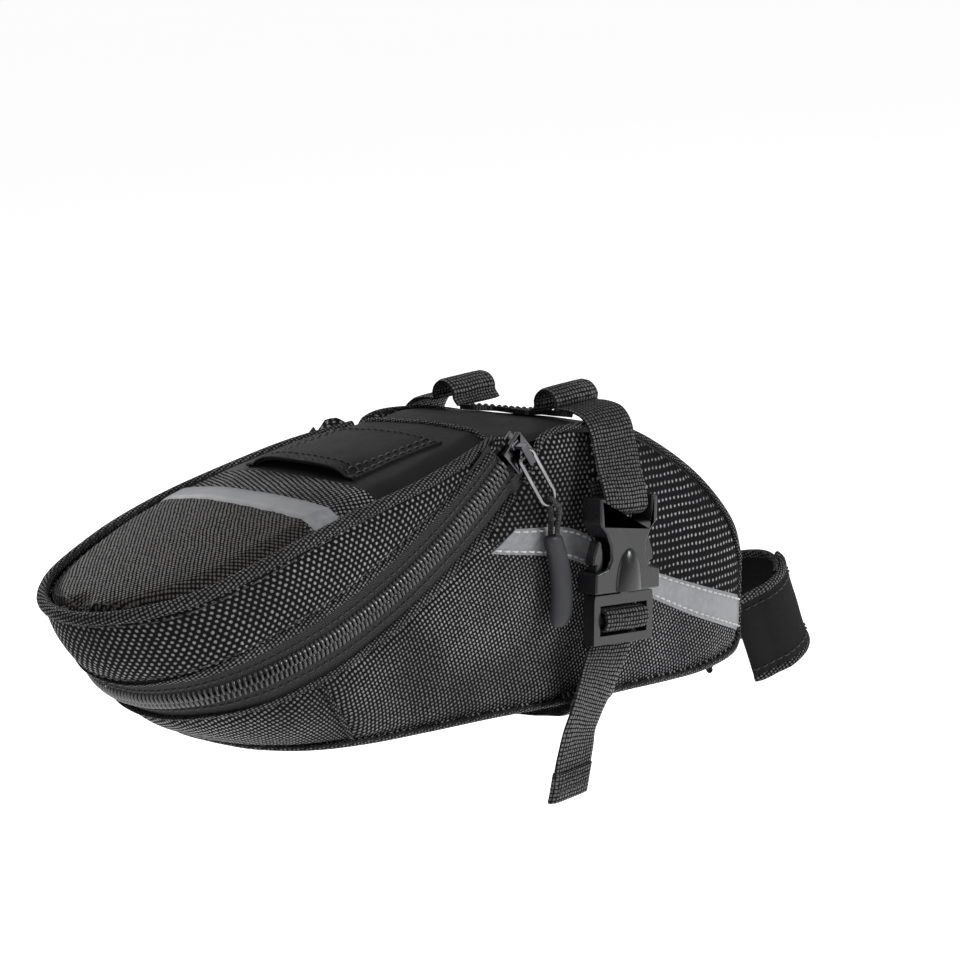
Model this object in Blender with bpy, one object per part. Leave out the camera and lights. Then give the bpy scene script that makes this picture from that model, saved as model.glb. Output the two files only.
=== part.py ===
"""Saddle bag for a bicycle: a zipped fabric bag hung by two webbing straps from the saddle
rails and tied to the seat post with a hook-and-loop strap.

Axes: +X forward (towards the seat post), +Y left, +Z up. The origin is midway between the two
saddle rails, where the straps go over them. Lengths below are millimetres; meshes are metres.
"""
import math

import bmesh
import bpy
import numpy as np
from mathutils import Matrix, Vector
from mathutils.bvhtree import BVHTree

MM = 0.001

# Fabric
WALL = 1.5              # padded panel
LINING = 0.6
LINING_DEPTH = 2.3      # outer face of the panels to the outer face of the lining
GAP = 0.3               # clearance between neighbouring pieces
SEAM = 0.2              # half of the gap between two panels at a seam
TAPE = 0.4              # reflective tape

# What the bag hangs on
RAIL_Y = 22.0
RAIL_RADIUS = 3.5
POST_RADIUS = 13.6
POST_LEAN = math.radians(18.4)
POST_POINT = Vector((95.1, 0.0, -90.0))

# Zipper: a circular arc on each side, then a turn round the rear under the tip
ZIP_CENTRE = Vector((-168.4, 0.0, 152.3))
ZIP_RADIUS = 203.9
ZIP_SIDE = 38.5
ZIP_TOP = math.radians(-51.3)       # angle of the slider at rest
ZIP_COIL = math.radians(-52.8)      # angle at which the coils begin
ZIP_TURN = math.radians(-74.0)      # angle at which the arc ends
ZIP_REAR = [(-125, 37.4, -46.9), (-138, 34, -50), (-147, 27, -52.4), (-152, 17, -54.2), (-154, 7, -55.3),
            (-154.2, 0, -55.5)]
REAR_NORMAL = Vector((-0.73, 0.0, -0.68)).normalized()
COIL_IN = 0.7
COIL_OUT = 3.1
TAPE_OUT = 4.4
PANEL_AT = 5.8                      # panel edge to zipper centre line

# Outlines as (x, half-width, z)
FOLD_X = -40.0                      # line that the lid hinges on
LID_EDGE = [(-40.5, 30.5, -3.8), (-60, 36.5, -6), (-79, 39.3, -8.9), (-105, 39.4, -12.7), (-125, 38.4, -16.8),
            (-141, 35.8, -21.0), (-154, 31.2, -24.4), (-164, 22.6, -26.8), (-170, 11.5, -28.1),
            (-172, 0, -28.5)]
SIDE_TOP = [(72, 20, -65), (65.5, 22.8, -51), (49.5, 26, -34.4), (28.4, 30, -19.7), (7.8, 34, -9.4),
            (-14, 37, -4.4), (-30, 38.4, -5.2)]
SIDE_BOTTOM = [(71, 18, -90.6), (60, 24, -92.6), (42, 28, -92.6), (24, 30.5, -90.8), (5, 32, -88.6),
               (-16, 33, -86.4), (-31, 33.4, -84.7)]
REAR_BOTTOM = [(-36, 33.5, -84.1), (-55, 33.6, -81.8), (-78, 33, -79.6), (-100, 31, -77.6), (-116, 26, -75.8),
               (-127, 17, -73.9), (-131, 7, -72.8), (-131.5, 0, -72.6)]
TOP_CORNER = [(-27, 36.6, -4.8), (-39.6, 35.0, -5.0)]    # edge of the body's top panel near the fold
CROWN = 3.0                         # rise of the top panels between their edges
LID_BULGE = 2.0
SIDE_BULGE = 2.6
BELLY_SAG = 3.0
PIPING_RADIUS = 1.5
DART_AT = 0.60                      # share of the zipper's length where the rear panel begins
LID_ROWS = 20                       # rows of points from the fold to the tip, shared by every lid piece

# Straps and buckles
STRAP_WIDTH = 18.0
STRAP_THICK = 1.4
STRAP_X = -2.0                      # middle of the strap on the rail
BUCKLE_AT = Vector((-9.7, -46.0, -46.5))
BUCKLE_LEAN = math.radians(7.7)
BUCKLE_THICK = 8.0
FRAME_THICK = 4.5       # male half's ladder frame
PRONG_THICK = 3.8
TAIL_HINGE = -22.6      # height on the buckle's middle line where the free tail begins
WEB_MIDDLE = 42.95      # middle of the webbing from the bag's middle plane, where it leaves the ladder
TAIL_POINTS = [(-15.6, -43.2, -73.2), (-20.6, -43.9, -79.2), (-25.6, -44.4, -85.2), (-29.3, -44.3, -90.8),
               (-31.4, -44.0, -96.2), (-32.7, -43.5, -101.2)]
TAIL_LEANS = [math.radians(turn) for turn in (7.7, 14.0, 23.0, 24.0, 17.0, 8.0, 3.0)]
TAIL_TWISTS = [math.radians(turn) for turn in (0.0, 3.0, 9.0, 14.0, 14.0, 10.0, 8.0)]
TAIL_FOLD = 9.0

# Slider and pull
SLIDER_LENGTH = 9.0
CROWN_LENGTH = 7.0
BAIL_WAY = Vector((0.485, 0.0, -0.875)).normalized()    # the way the bail hangs
BAIL_OUT = 4.3          # bail wire above the zipper plane
BAIL_WIRE = 0.6
BAIL_LENGTH = 18.5
BAIL_WIDTH = 5.6
CORD_RADIUS = 0.7

# Hook-and-loop strap round the seat post, angles in degrees with 180 at the bag
POST_STRAP_THICK = 1.5
POST_STRAP_LOW = -16.0  # along the post, from POST_POINT
POST_STRAP_HIGH = 13.0
POST_CLEARANCE = 0.4
POST_STRAP_ROOT = 145   # where each half leaves the pad
POST_STRAP_END = 72
POST_FLAP_END = 24
POST_STAND_OFF = 112    # where it begins to stand off the post
POST_SPREAD = 2.6       # how far it stands off at its roots
POST_FLAP_RAMP = 42.0   # angle in which the flap climbs on to the inner layer
PAD_HALF = 9.0
PAD_TOP = -69.0
PAD_FOOT = -90.5
PAD_CLEARANCE = 0.2

COLLECTION = "saddle_bag"
BLACK_CLOTH = ((0.012, 0.012, 0.013), 0.85, 0.0)
BLACK_SMOOTH = ((0.018, 0.018, 0.019), 0.6, 0.0)
BLACK_WEBBING = ((0.009, 0.009, 0.010), 0.8, 0.0)
GREY_TAPE = ((0.33, 0.33, 0.34), 0.45, 0.0)
NYLON = ((0.016, 0.016, 0.017), 0.35, 0.0)
ACETAL = ((0.030, 0.031, 0.034), 0.38, 0.0)
RUBBER = ((0.045, 0.046, 0.050), 0.55, 0.0)
GUNMETAL = ((0.10, 0.10, 0.11), 0.28, 0.9)
GREY_LINING = ((0.07, 0.07, 0.075), 0.8, 0.0)
BOARD = ((0.20, 0.20, 0.20), 0.6, 0.0)


# ------------------------------------------------------------------ scene and helpers
def clear_scene():
    for item in list(bpy.data.objects):
        bpy.data.objects.remove(item, do_unlink=True)
    for name in (COLLECTION, "cutters"):
        group = bpy.data.collections.new(name)
        bpy.context.scene.collection.children.link(group)


def material(name, finish):
    colour, roughness, metallic = finish
    made = bpy.data.materials.new(name)
    made.use_nodes = True
    shader = made.node_tree.nodes["Principled BSDF"]
    shader.inputs["Base Color"].default_value = (*colour, 1.0)
    shader.inputs["Roughness"].default_value = roughness
    shader.inputs["Metallic"].default_value = metallic
    return made


def add_object(name, mesh, finish):
    item = bpy.data.objects.new(name, mesh)
    mesh.materials.clear()
    mesh.materials.append(material(name, finish))
    bpy.data.collections[COLLECTION].objects.link(item)
    return item


def add_bmesh(name, work, finish):
    """Turn a bmesh in millimetres into an object in metres with its faces pointing out."""
    bmesh.ops.remove_doubles(work, verts=work.verts, dist=0.01)
    bmesh.ops.dissolve_degenerate(work, dist=0.001, edges=work.edges)
    bmesh.ops.recalc_face_normals(work, faces=work.faces)
    bmesh.ops.scale(work, verts=work.verts, vec=(MM, MM, MM))
    mesh = bpy.data.meshes.new(name)
    work.to_mesh(mesh)
    work.free()
    item = add_object(name, mesh, finish)
    mesh.shade_smooth()
    mesh.set_sharp_from_angle(angle=math.radians(35))
    return item


def loft_into(work, rings, capped=True):
    """Bridge equal rings of points and close both ends with strips across the ring."""
    rows = [[work.verts.new(p) for p in ring] for ring in rings]
    size = len(rows[0])
    for near, far in zip(rows[:-1], rows[1:]):
        for j in range(size):
            k = (j + 1) % size
            work.faces.new((near[j], near[k], far[k], far[j]))
    for row in (rows[0], rows[-1]) if capped else ():
        for j in range(size // 2 - 1):
            work.faces.new((row[j], row[j + 1], row[size - 2 - j], row[size - 1 - j]))


def loft(name, rings, finish):
    work = bmesh.new()
    loft_into(work, rings)
    return add_bmesh(name, work, finish)


def shell(name, outer, inner, finish, capped=True):
    """A closed shell between two grids; a tub whose end rows are folded flat takes no caps."""
    work = bmesh.new()
    loft_into(work, [list(o) + list(i)[::-1] for o, i in zip(outer, inner)], capped)
    return add_bmesh(name, work, finish)


def prism(name, outline, low, high, place, finish):
    """A flat outline (u, v) extruded from low to high along w, then placed."""
    work = bmesh.new()
    face = work.faces.new([work.verts.new((u, v, low)) for u, v in outline])
    grown = bmesh.ops.extrude_face_region(work, geom=[face])
    moved = [v for v in grown["geom"] if isinstance(v, bmesh.types.BMVert)]
    bmesh.ops.translate(work, verts=moved, vec=(0, 0, high - low))
    bmesh.ops.transform(work, matrix=place, verts=work.verts)
    return add_bmesh(name, work, finish)


def box_cutter(target, low, high, place, operation="DIFFERENCE"):
    """Cut a placed box from the target, or join it on, with a Boolean modifier."""
    bpy.ops.mesh.primitive_cube_add(size=1)
    cutter = bpy.context.object
    cutter.name = target.name + "_cutter"
    middle = [(a + b) / 2 for a, b in zip(low, high)]
    size = [b - a for a, b in zip(low, high)]
    shape = Matrix.Diagonal((*size, 1.0))
    cutter.data.transform(Matrix.Scale(MM, 4) @ place @ Matrix.Translation(middle) @ shape)
    for group in list(cutter.users_collection):
        group.objects.unlink(cutter)
    bpy.data.collections["cutters"].objects.link(cutter)
    cutter.hide_render = True
    cutter.display_type = "WIRE"
    cut = target.modifiers.new("cut", "BOOLEAN")
    cut.operation = operation
    cut.solver = "EXACT"
    cut.object = cutter


def wire(name, points, radius, finish, resolution=2, cyclic=False):
    """A round wire or tube along the points, with filled caps."""
    curve = bpy.data.curves.new(name, "CURVE")
    curve.dimensions = "3D"
    spline = curve.splines.new("POLY")
    spline.points.add(len(points) - 1)
    for spot, p in zip(spline.points, points):
        spot.co = (*(Vector(p) * MM), 1.0)
    spline.use_cyclic_u = cyclic
    spline.use_smooth = True
    curve.bevel_depth = radius * MM
    curve.bevel_resolution = resolution
    curve.use_fill_caps = True
    curve.materials.append(material(name, finish))
    item = bpy.data.objects.new(name, curve)
    bpy.data.collections[COLLECTION].objects.link(item)
    return item


def left_copy(item, finish):
    """The mirrored twin of a right-hand piece, with its modifiers applied."""
    bpy.context.view_layer.update()
    ready = item.evaluated_get(bpy.context.evaluated_depsgraph_get())
    mesh = bpy.data.meshes.new_from_object(ready)
    name = item.name.replace("right", "left")
    mesh.name = name
    mesh.transform(item.matrix_world)
    mesh.transform(Matrix.Diagonal((1.0, -1.0, 1.0, 1.0)))
    mesh.flip_normals()
    return add_object(name, mesh, finish)


def unit(vector):
    return vector / np.linalg.norm(vector, axis=-1, keepdims=True)


def catmull(points, before, after, steps=24):
    """Points close together on a smooth line through the given ones."""
    knots = [np.array(p, float) for p in [before, *points, after]]
    line = [knots[1]]
    for a, b, c, d in zip(knots[:-3], knots[1:-2], knots[2:-1], knots[3:]):
        for step in range(1, steps + 1):
            t = step / steps
            line.append(0.5 * (2 * b + (c - a) * t + (2 * a - 5 * b + 4 * c - d) * t * t
                               + (3 * b - a - 3 * c + d) * t ** 3))
    return np.array(line)


def smooth(points, before=None, after=None, steps=24):
    points = [np.array(p, float) for p in points]
    before = 2 * points[0] - points[1] if before is None else before
    after = 2 * points[-1] - points[-2] if after is None else after
    return catmull(points, before, after, steps)


def lengths(line):
    return np.concatenate([[0.0], np.cumsum(np.linalg.norm(np.diff(line, axis=0), axis=1))])


def spaced(line, count, start=0.0, end=1.0):
    """count points spread evenly along a line, between two shares of its length."""
    run = lengths(line)
    wanted = np.linspace(start * run[-1], end * run[-1], count)
    return np.stack([np.interp(wanted, run, line[:, k]) for k in range(3)], axis=1)


def right(points):
    """(x, half-width, z) as points on the right-hand side, y below zero."""
    return [(x, -w, z) for x, w, z in points]


def mirrored(points):
    return np.asarray(points) * np.array([1.0, -1.0, 1.0])


# ------------------------------------------------------------------ shape of the bag
def into_bag(points):
    """The direction from each point of the skin into the bag, the same for every panel."""
    p = np.asarray(points, float)
    x = np.clip(p[..., 0], -158.0, 58.0)
    middle = np.interp(x, [-158, -150, -110, 0, 58], [-40, -42, -46, -48, -74])
    half = np.interp(x, [-158, -150, -110, 0, 58], [4, 12, 22, 22, 10])
    core = np.stack([x, np.clip(p[..., 1], -half, half), middle], axis=-1)
    return unit(core - p)


def inward(points, depth):
    return np.asarray(points) + depth * into_bag(points)


def zipper_arc(angle, side=ZIP_SIDE):
    return (ZIP_CENTRE.x + ZIP_RADIUS * math.cos(angle), -side, ZIP_CENTRE.z + ZIP_RADIUS * math.sin(angle))


def zipper_line(first):
    """The right half of the zipper's centre line, from the angle given to the rear centre."""
    arc = [zipper_arc(a) for a in np.linspace(first, ZIP_TURN, 60)]
    rear = right(ZIP_REAR)
    turn = smooth([arc[-1], *rear], before=zipper_arc(ZIP_TURN + math.radians(4)), after=mirrored(rear[-2]))
    return np.vstack([arc, turn[1:]])


def zipper_frames(first, count):
    """Points on the right half of the zipper, with the directions across it and out of it."""
    line = zipper_line(first)
    points = spaced(line, count)
    ahead = spaced(line, 4 * (count - 1) + 1)
    along = unit(np.gradient(ahead, axis=0))[::4]
    along[-1] = (0.0, 1.0, 0.0)
    plan = np.arctan2(along[:, 1], -along[:, 0])[:, None]
    out = np.cos(plan) * np.array([0.0, -1.0, 0.0]) + np.sin(plan) * np.array(REAR_NORMAL)
    out = unit(out - (out * along).sum(axis=1)[:, None] * along)
    across = np.cross(out, along)
    across *= np.where(across[:, 2:3] > 0, -1.0, 1.0)
    return points, across, out


def whole(right_half):
    """A U-shaped row of points: the right half, then its mirror image back to the front."""
    half = np.asarray(right_half)
    return np.vstack([half, mirrored(half[:-1])[::-1]])


class Wall:
    """The upright wall of the body, from the middle of the nose round to the rear centre."""

    def __init__(self):
        points, across, _ = zipper_frames(ZIP_TOP, 60)
        zip_edge = points + PANEL_AT * across
        zip_edge[-1, 1] = 0.0
        top = np.vstack([smooth(right(SIDE_TOP), after=zip_edge[4]), zip_edge[3:]])
        join = len(smooth(right(SIDE_TOP)))
        bottom_front = spaced(smooth(right(SIDE_BOTTOM)), join)
        rear = right(REAR_BOTTOM)
        bottom_rear = spaced(smooth(rear, after=mirrored(rear[-2])), len(top) - join)
        bottom = np.vstack([bottom_front, bottom_rear])
        nose = np.linspace(0.0, 1.0, 12)[:-1, None]
        flat = np.array([1.0, 0.0, 1.0])
        self.top = np.vstack([top[0] * flat + nose * (top[0] - top[0] * flat), top])
        self.bottom = np.vstack([bottom[0] * flat + nose * (bottom[0] - bottom[0] * flat), bottom])
        middle = (self.top + self.bottom) / 2
        self.run = lengths(middle)
        self.corner = self.run[11]
        self.fold = float(np.interp(-FOLD_X, -middle[11:, 0], self.run[11:]))
        self.end = self.run[-1]
        self.dart = self.fold + DART_AT * (self.end - self.fold)
        self.front_rows = np.linspace(0.0, self.corner, 3)
        self.side_rows = np.linspace(self.corner, self.dart, 15)
        self.rear_rows = np.linspace(self.dart, self.end, 9)
        self.all_rows = np.concatenate([self.front_rows, self.side_rows[1:], self.rear_rows[1:]])
        along = np.gradient(middle, axis=0)
        along[-1] = (0.0, 1.0, 0.0)
        out = np.cross(unit(along), unit(self.bottom - self.top))
        out[:11] = (1.0, 0.0, 0.0)
        inside = into_bag(middle)
        out *= np.where((out * inside).sum(axis=1)[:, None] > 0, -1.0, 1.0)
        self.out = unit(out)
        self.bulge = np.interp(self.run, [0, self.corner, self.corner + 25, self.end - 60, self.end],
                               [0.0, 0.0, SIDE_BULGE, SIDE_BULGE, 1.5])

    def at(self, distance, share, depth=0.0):
        """The point at a distance along the wall and a share of its height, 0 at the top."""
        pick = [np.interp(distance, self.run, column) for column in np.hstack(
            [self.top, self.bottom, self.out, self.bulge[:, None]]).T]
        top, bottom, out, bulge = np.array(pick[:3]), np.array(pick[3:6]), np.array(pick[6:9]), pick[9]
        point = top + share * (bottom - top) + 4 * share * (1 - share) * bulge * unit(out)
        return inward(point, depth)

    def rows(self, distances, shares, depth=0.0):
        return [[self.at(d, s, depth) for s in shares] for d in distances]


PANEL_SHARES = np.linspace(0.004, 0.996, 5)


def wall_patch(name, wall, distances, finish, both=False):
    """A panel of the wall; both carries on round the centre line to the mirrored side."""
    outer = wall.rows(distances, PANEL_SHARES)
    inner = wall.rows(distances, PANEL_SHARES, WALL)
    if both:
        outer = outer + [mirrored(row) for row in outer[-2::-1]]
        inner = inner + [mirrored(row) for row in inner[-2::-1]]
    return shell(name, outer, inner, finish)


def make_body_panels(wall):
    """Side, front, rear, bottom and top panels of the body."""
    side = wall_patch("right_side_panel", wall, side_panel_rows(wall), BLACK_CLOTH)
    left_copy(side, BLACK_CLOTH)
    rear = wall.rear_rows.copy()
    rear[0] += SEAM
    wall_patch("rear_panel", wall, rear, BLACK_CLOTH, both=True)
    nose = wall.front_rows[::-1].copy()
    nose[0] -= 2 * SEAM
    wall_patch("front_panel", wall, nose, BLACK_CLOTH, both=True)
    rows = belly_rows(wall)
    shell("bottom_panel", rows, [inward(row, WALL) for row in rows], BLACK_CLOTH)
    rows = body_top_rows()
    shell("top_panel", rows, [inward(row, WALL) for row in rows], BLACK_SMOOTH)


def side_panel_rows(wall):
    rows = wall.side_rows.copy()
    rows[0] += SEAM
    rows[-1] -= SEAM
    return rows


def belly_point(edge, half, q):
    """A point across the underside from an edge point: q is -1 at the right, 1 at the left."""
    sag = BELLY_SAG * (1 - q * q) * min(1.0, half / 30.0)
    return (edge[0], q * half, edge[2] - sag)


def belly_rows(wall):
    """Rows across the underside, each between the right and the left bottom edges."""
    rows = []
    for distance in wall.all_rows[2:]:
        edge = wall.at(distance, 1.0)
        half = max(-edge[1] - GAP, 0.0)
        if half == 0.0:
            edge[0] += GAP
        rows.append([belly_point(edge, half, q) for q in np.linspace(-1.0, 1.0, 5)])
    return rows


def body_top_rows():
    """Rows across the top of the body, from the nose to the fold line of the lid."""
    edge = smooth(right(SIDE_TOP[:6] + TOP_CORNER))
    rows = []
    for x, y, z in spaced(edge, 12, 0.003, 1.0):
        half = -y - 0.4
        row = []
        for q in np.linspace(-1.0, 1.0, 7):
            crown = np.interp(x, [FOLD_X, -15.0, 20.0, 72.0], [2.4, 1.2, 1.2, 0.4]) * (1 - q * q)
            row.append((x, q * half, z + crown))
        rows.append(row)
    return rows


# ------------------------------------------------------------------ lid
def lid_edge_line():
    edge = right(LID_EDGE)
    return smooth(edge, after=mirrored(edge[-2]))


def lid_top_rows(inset, columns):
    """Rows across the lid's top, inset from the piped edge."""
    line = lid_edge_line()
    edge = spaced(line, LID_ROWS)
    fine = spaced(line, 4 * (LID_ROWS - 1) + 1)
    along = unit(np.gradient(fine, axis=0))[::4]
    along[-1] = (0.0, -1.0, 0.0)
    aside = unit(np.stack([along[:, 1], -along[:, 0], 0 * along[:, 0]], axis=1))
    aside[-1] = (1.0, 0.0, 0.0)
    rows = []
    for (x, y, z), (ix, iy, _) in zip(edge, aside):
        x, half = x + inset * ix, max(-(y + inset * iy), 0.0)
        row = []
        for q in np.linspace(-1.0, 1.0, columns):
            rise = np.interp(-x, [-FOLD_X, 75.0], [1.2, CROWN]) * (1 - q * q) * min(1.0, half / 30.0)
            row.append((x, q * half, z + rise))
        rows.append(row)
    rows[-1] = [(rows[-1][0][0], 0.0, rows[-1][0][2])] * columns
    return rows


def gusset_rows(start, end, columns):
    """Rows down the lid's gusset, from the piped edge to the zipper, round the whole U."""
    edge = spaced(lid_edge_line(), LID_ROWS)
    points, across, _ = zipper_frames(ZIP_TOP, LID_ROWS)
    clear_of_slider = np.interp(np.arange(LID_ROWS), [0, 3], [2.2, 0.0])[:, None]
    lower = points - (PANEL_AT + clear_of_slider) * across
    lower[-1, 1] = 0.0
    lower[0, 0] = min(lower[0, 0], FOLD_X - 0.6)
    along = unit(np.gradient(edge, axis=0))
    along[-1] = (0.0, 1.0, 0.0)
    rows = []
    for a, b, way in zip(edge, lower, along):
        fall = b - a
        length = np.linalg.norm(fall)
        square = np.linalg.norm(fall - (fall @ way) * way)
        shares = np.linspace(start / square, 1 - end / length, columns)
        bulge = LID_BULGE * min(1.0, length / 25.0)
        row = []
        for s in shares:
            p = a + s * fall
            row.append(p - 4 * s * (1 - s) * bulge * into_bag(p))
        rows.append(row)
    return rows + [mirrored(row) for row in rows[-2::-1]]


def make_lid():
    top = lid_top_rows(PIPING_RADIUS + GAP, 7)
    shell("lid_top_panel", top, [inward(row, WALL) for row in top], BLACK_CLOTH)
    outer = gusset_rows(PIPING_RADIUS + 3 * GAP, 0.0, 4)
    shell("lid_gusset", outer, [inward(row, WALL) for row in outer], BLACK_CLOTH)
    edge = spaced(lid_edge_line(), LID_ROWS)
    edge[0] += 0.3 * (edge[1] - edge[0])
    wire("lid_piping", inward(whole(edge), 0.3), PIPING_RADIUS, BLACK_WEBBING, 1)
    board = lid_top_rows(9.0, 3)[1:-1]
    board = [inward(row, 1.0 + LINING_DEPTH + LINING) for row in board]
    shell("lid_stiffener", board, [inward(row, 1.0) for row in board], BOARD)
    make_lid_lining()
    make_lid_reflector(top)
    make_light_loop(top)


def make_lid_lining():
    """One lining sheet: up the right gusset, across under the top and down the left gusset."""
    walls = gusset_rows(4.0, 3.5, 3)[:LID_ROWS]
    tops = lid_top_rows(4.5, 5)
    rows = []
    for side, across in list(zip(walls, tops))[1:-1]:
        side = np.array(side)
        ring = [*side[::-1], *across, *mirrored(side)]
        rows.append(ring)
    outer = [inward(row, LINING_DEPTH) for row in rows]
    inner = [inward(row, LINING_DEPTH + LINING) for row in rows]
    shell("lid_lining", outer, inner, GREY_LINING)


def drape(target_rows, points, direction, lift):
    """Points moved along a direction until they lie on a skin, then lifted off it."""
    corners = [Vector(p) for row in target_rows for p in row]
    width = len(target_rows[0])
    faces = []
    for r in range(len(target_rows) - 1):
        for c in range(width - 1):
            a = r * width + c
            faces.append((a, a + 1, a + width + 1, a + width))
    tree = BVHTree.FromPolygons(corners, faces)
    way = Vector(direction)
    landed = []
    for p in points:
        hit = tree.ray_cast(Vector(p) - 200 * way, way)[0]
        landed.append(np.array(hit - float(lift) * way))
    return landed


def strip_on(name, rows_of_points, target_rows, direction, lift, thick, finish):
    low = [drape(target_rows, row, direction, lift) for row in rows_of_points]
    high = [drape(target_rows, row, direction, lift + thick) for row in rows_of_points]
    return shell(name, low, high, finish)


def make_lid_reflector(top):
    rows = []
    for y in np.linspace(-34.0, 34.0, 13):
        rows.append([(x, y, 0.0) for x in (-105.0, -113.5)])
    strip_on("lid_reflector", rows, top, (0, 0, -1), GAP, TAPE, GREY_TAPE)


def make_light_loop(top):
    """A loop for a clip-on tail light: sewn down at its two sides, raised between them."""
    low, high = [], []
    for y in np.linspace(-23, 23, 13):
        rise = 0.5 + 2.2 * (1 - (y / 23) ** 6)
        line = [(x, y, 0.0) for x in (-54, -71, -88)]
        low.append(drape(top, line, (0, 0, -1), rise))
        high.append(drape(top, line, (0, 0, -1), rise + 0.9))
    shell("light_loop", low, high, BLACK_SMOOTH)


# ------------------------------------------------------------------ zipper
def zipper_strip(name, first, inner, outer, low, high, finish):
    """A strip beside the zipper's centre line; negative across is the lid's side."""
    points, across, out = zipper_frames(first, 24)
    rings = []
    for p, a, n in zip(points, across, out):
        rings.append([p + inner * a + high * n, p + outer * a + high * n,
                      p + outer * a + low * n, p + inner * a + low * n])
    rings = rings + [mirrored(ring) for ring in rings[-2::-1]]
    return loft(name, rings, finish)


def make_zipper():
    for name, sign in (("lid", -1.0), ("body", 1.0)):
        first = ZIP_COIL if sign < 0 else ZIP_TOP + math.radians(0.9)
        zipper_strip(f"zipper_{name}_tape", first, sign * COIL_IN, sign * TAPE_OUT, -1.1, -0.6, BLACK_WEBBING)
        zipper_strip(f"zipper_{name}_coil", ZIP_COIL, sign * COIL_IN, sign * COIL_OUT, -0.3, 1.2, NYLON)


def slider_point():
    return Vector(zipper_arc(ZIP_TOP))


def side_frame(origin, upward):
    """A frame on the bag's right side: u forward, v up in its plane, w outward."""
    outward = Vector((0.0, -1.0, 0.0))
    along = upward.cross(outward).normalized()
    matrix = Matrix((along, upward, outward)).transposed().to_4x4()
    return Matrix.Translation(origin) @ matrix


def make_slider():
    """A two-plate slider whose web runs between the coils, with a crown for the bail."""
    at = slider_point()
    along = Vector((math.sin(ZIP_TOP), 0.0, -math.cos(ZIP_TOP)))
    outward = Vector((0.0, -1.0, 0.0))
    across = along.cross(outward)
    place = Matrix.Translation(at) @ Matrix((across, outward, along)).transposed().to_4x4()
    half = 4.2
    profile = [(-half, 2.5), (half, 2.5), (half, 0.4), (3.5, 0.4), (3.5, 1.5), (0.35, 1.5), (0.35, -1.4),
               (half, -1.4), (half, -2.2), (-half, -2.2), (-half, -1.4), (-0.35, -1.4), (-0.35, 1.5),
               (-3.5, 1.5), (-3.5, 0.4), (-half, 0.4)]
    reach = SLIDER_LENGTH / 2
    slider = prism("zipper_slider", profile, -reach, reach, place, GUNMETAL)
    crown = side_frame(at, -BAIL_WAY)
    end = CROWN_LENGTH / 2
    top = BAIL_OUT + 1.8
    box_cutter(slider, (-1.2, -end, 2.2), (1.2, end, top), crown, "UNION")
    box_cutter(slider, (-3.0, -end + 1.1, 2.5), (3.0, end - 1.1, top - 0.9), crown)


def make_pull():
    at = slider_point() + Vector((0.0, -BAIL_OUT, 0.0))
    place = side_frame(at, -BAIL_WAY)
    radius = BAIL_WIDTH / 2
    ring = []
    for step in range(9):
        a = math.pi * step / 8
        ring.append((radius * math.cos(a), radius * 0.45 * math.sin(a) - radius * 0.45, 0.0))
    for step in range(9):
        a = math.pi * (1 + step / 8)
        ring.append((radius * math.cos(a), -BAIL_LENGTH + radius * 1.2 + radius * 1.2 * math.sin(a), 0.0))
    wire("pull_bail", [place @ Vector(p) for p in ring], BAIL_WIRE, GUNMETAL, 2, cyclic=True)
    foot = at + BAIL_WAY * BAIL_LENGTH
    loop = []
    reach = BAIL_WIRE + GAP + CORD_RADIUS + GAP
    for step in range(9):
        a = math.pi * step / 8
        loop.append(foot + Vector((0.0, -reach * math.cos(a), 0.0)) - reach * math.sin(a) * BAIL_WAY)
    bend = 2.5 * BAIL_WAY
    down = bend + Vector((-1.4, 0.0, -7.0))
    loop = [loop[0] + down, loop[0] + bend, *loop, loop[-1] + bend, loop[-1] + down]
    wire("pull_cord", loop, CORD_RADIUS, BLACK_WEBBING, 1)
    make_grip(foot)


def make_grip(foot):
    """A moulded grip, an oval in section, wider at its lower end and slightly bent."""
    top = foot.z - 9.6
    rings = []
    for s in (0.0, 0.03, 0.12, 0.35, 0.6, 0.82, 0.94, 1.0):
        z = top - 27.5 * s
        x = foot.x - 0.7 + 2.2 * math.sin(math.pi * s)
        ease = math.sqrt(max(0.0, 1 - max(0.0, (s - 0.8) / 0.2) ** 2))
        wide = (3.4 + 0.7 * s) * (0.35 + 0.65 * ease) * (0.8 if s == 0.0 else 1.0)
        deep = 2.1 * (0.45 + 0.55 * ease) * (0.8 if s == 0.0 else 1.0)
        ring = []
        for step in range(12):
            a = 2 * math.pi * (step + 0.5) / 12
            ring.append((x + wide * math.cos(a), foot.y + deep * math.sin(a), z))
        rings.append(ring)
    loft("pull_grip", rings, RUBBER)


# ------------------------------------------------------------------ lining and board
def make_body_lining(wall):
    """One tub of lining: right wall, underside and left wall in each row."""
    rows = []
    shares = (0.08, 0.252, 0.5, 0.748, 1.0)
    for distance in wall.all_rows:
        side = [wall.at(distance, s) for s in shares]
        edge = side[-1]
        belly = [belly_point(edge, -edge[1], q) for q in (-0.5, 0.0, 0.5)]
        rows.append([*side, *belly, *mirrored(side)[::-1]])
    outer = [inward(row, LINING_DEPTH) for row in rows]
    inner = [inward(row, LINING_DEPTH + LINING) for row in rows]
    shell("body_lining", outer, inner, GREY_LINING, capped=False)


def make_base_board(wall):
    rows = []
    for distance in wall.all_rows[4:-5]:
        edge = wall.at(distance, 1.0)
        half = -edge[1]
        rows.append([belly_point(edge, half, q) for q in (-0.7, 0.0, 0.7)])
    low = [inward(row, LINING_DEPTH + LINING + 1.0) for row in rows]
    high = [inward(row, LINING_DEPTH + LINING + 2.2) for row in rows]
    shell("base_board", low, high, BOARD)


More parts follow.
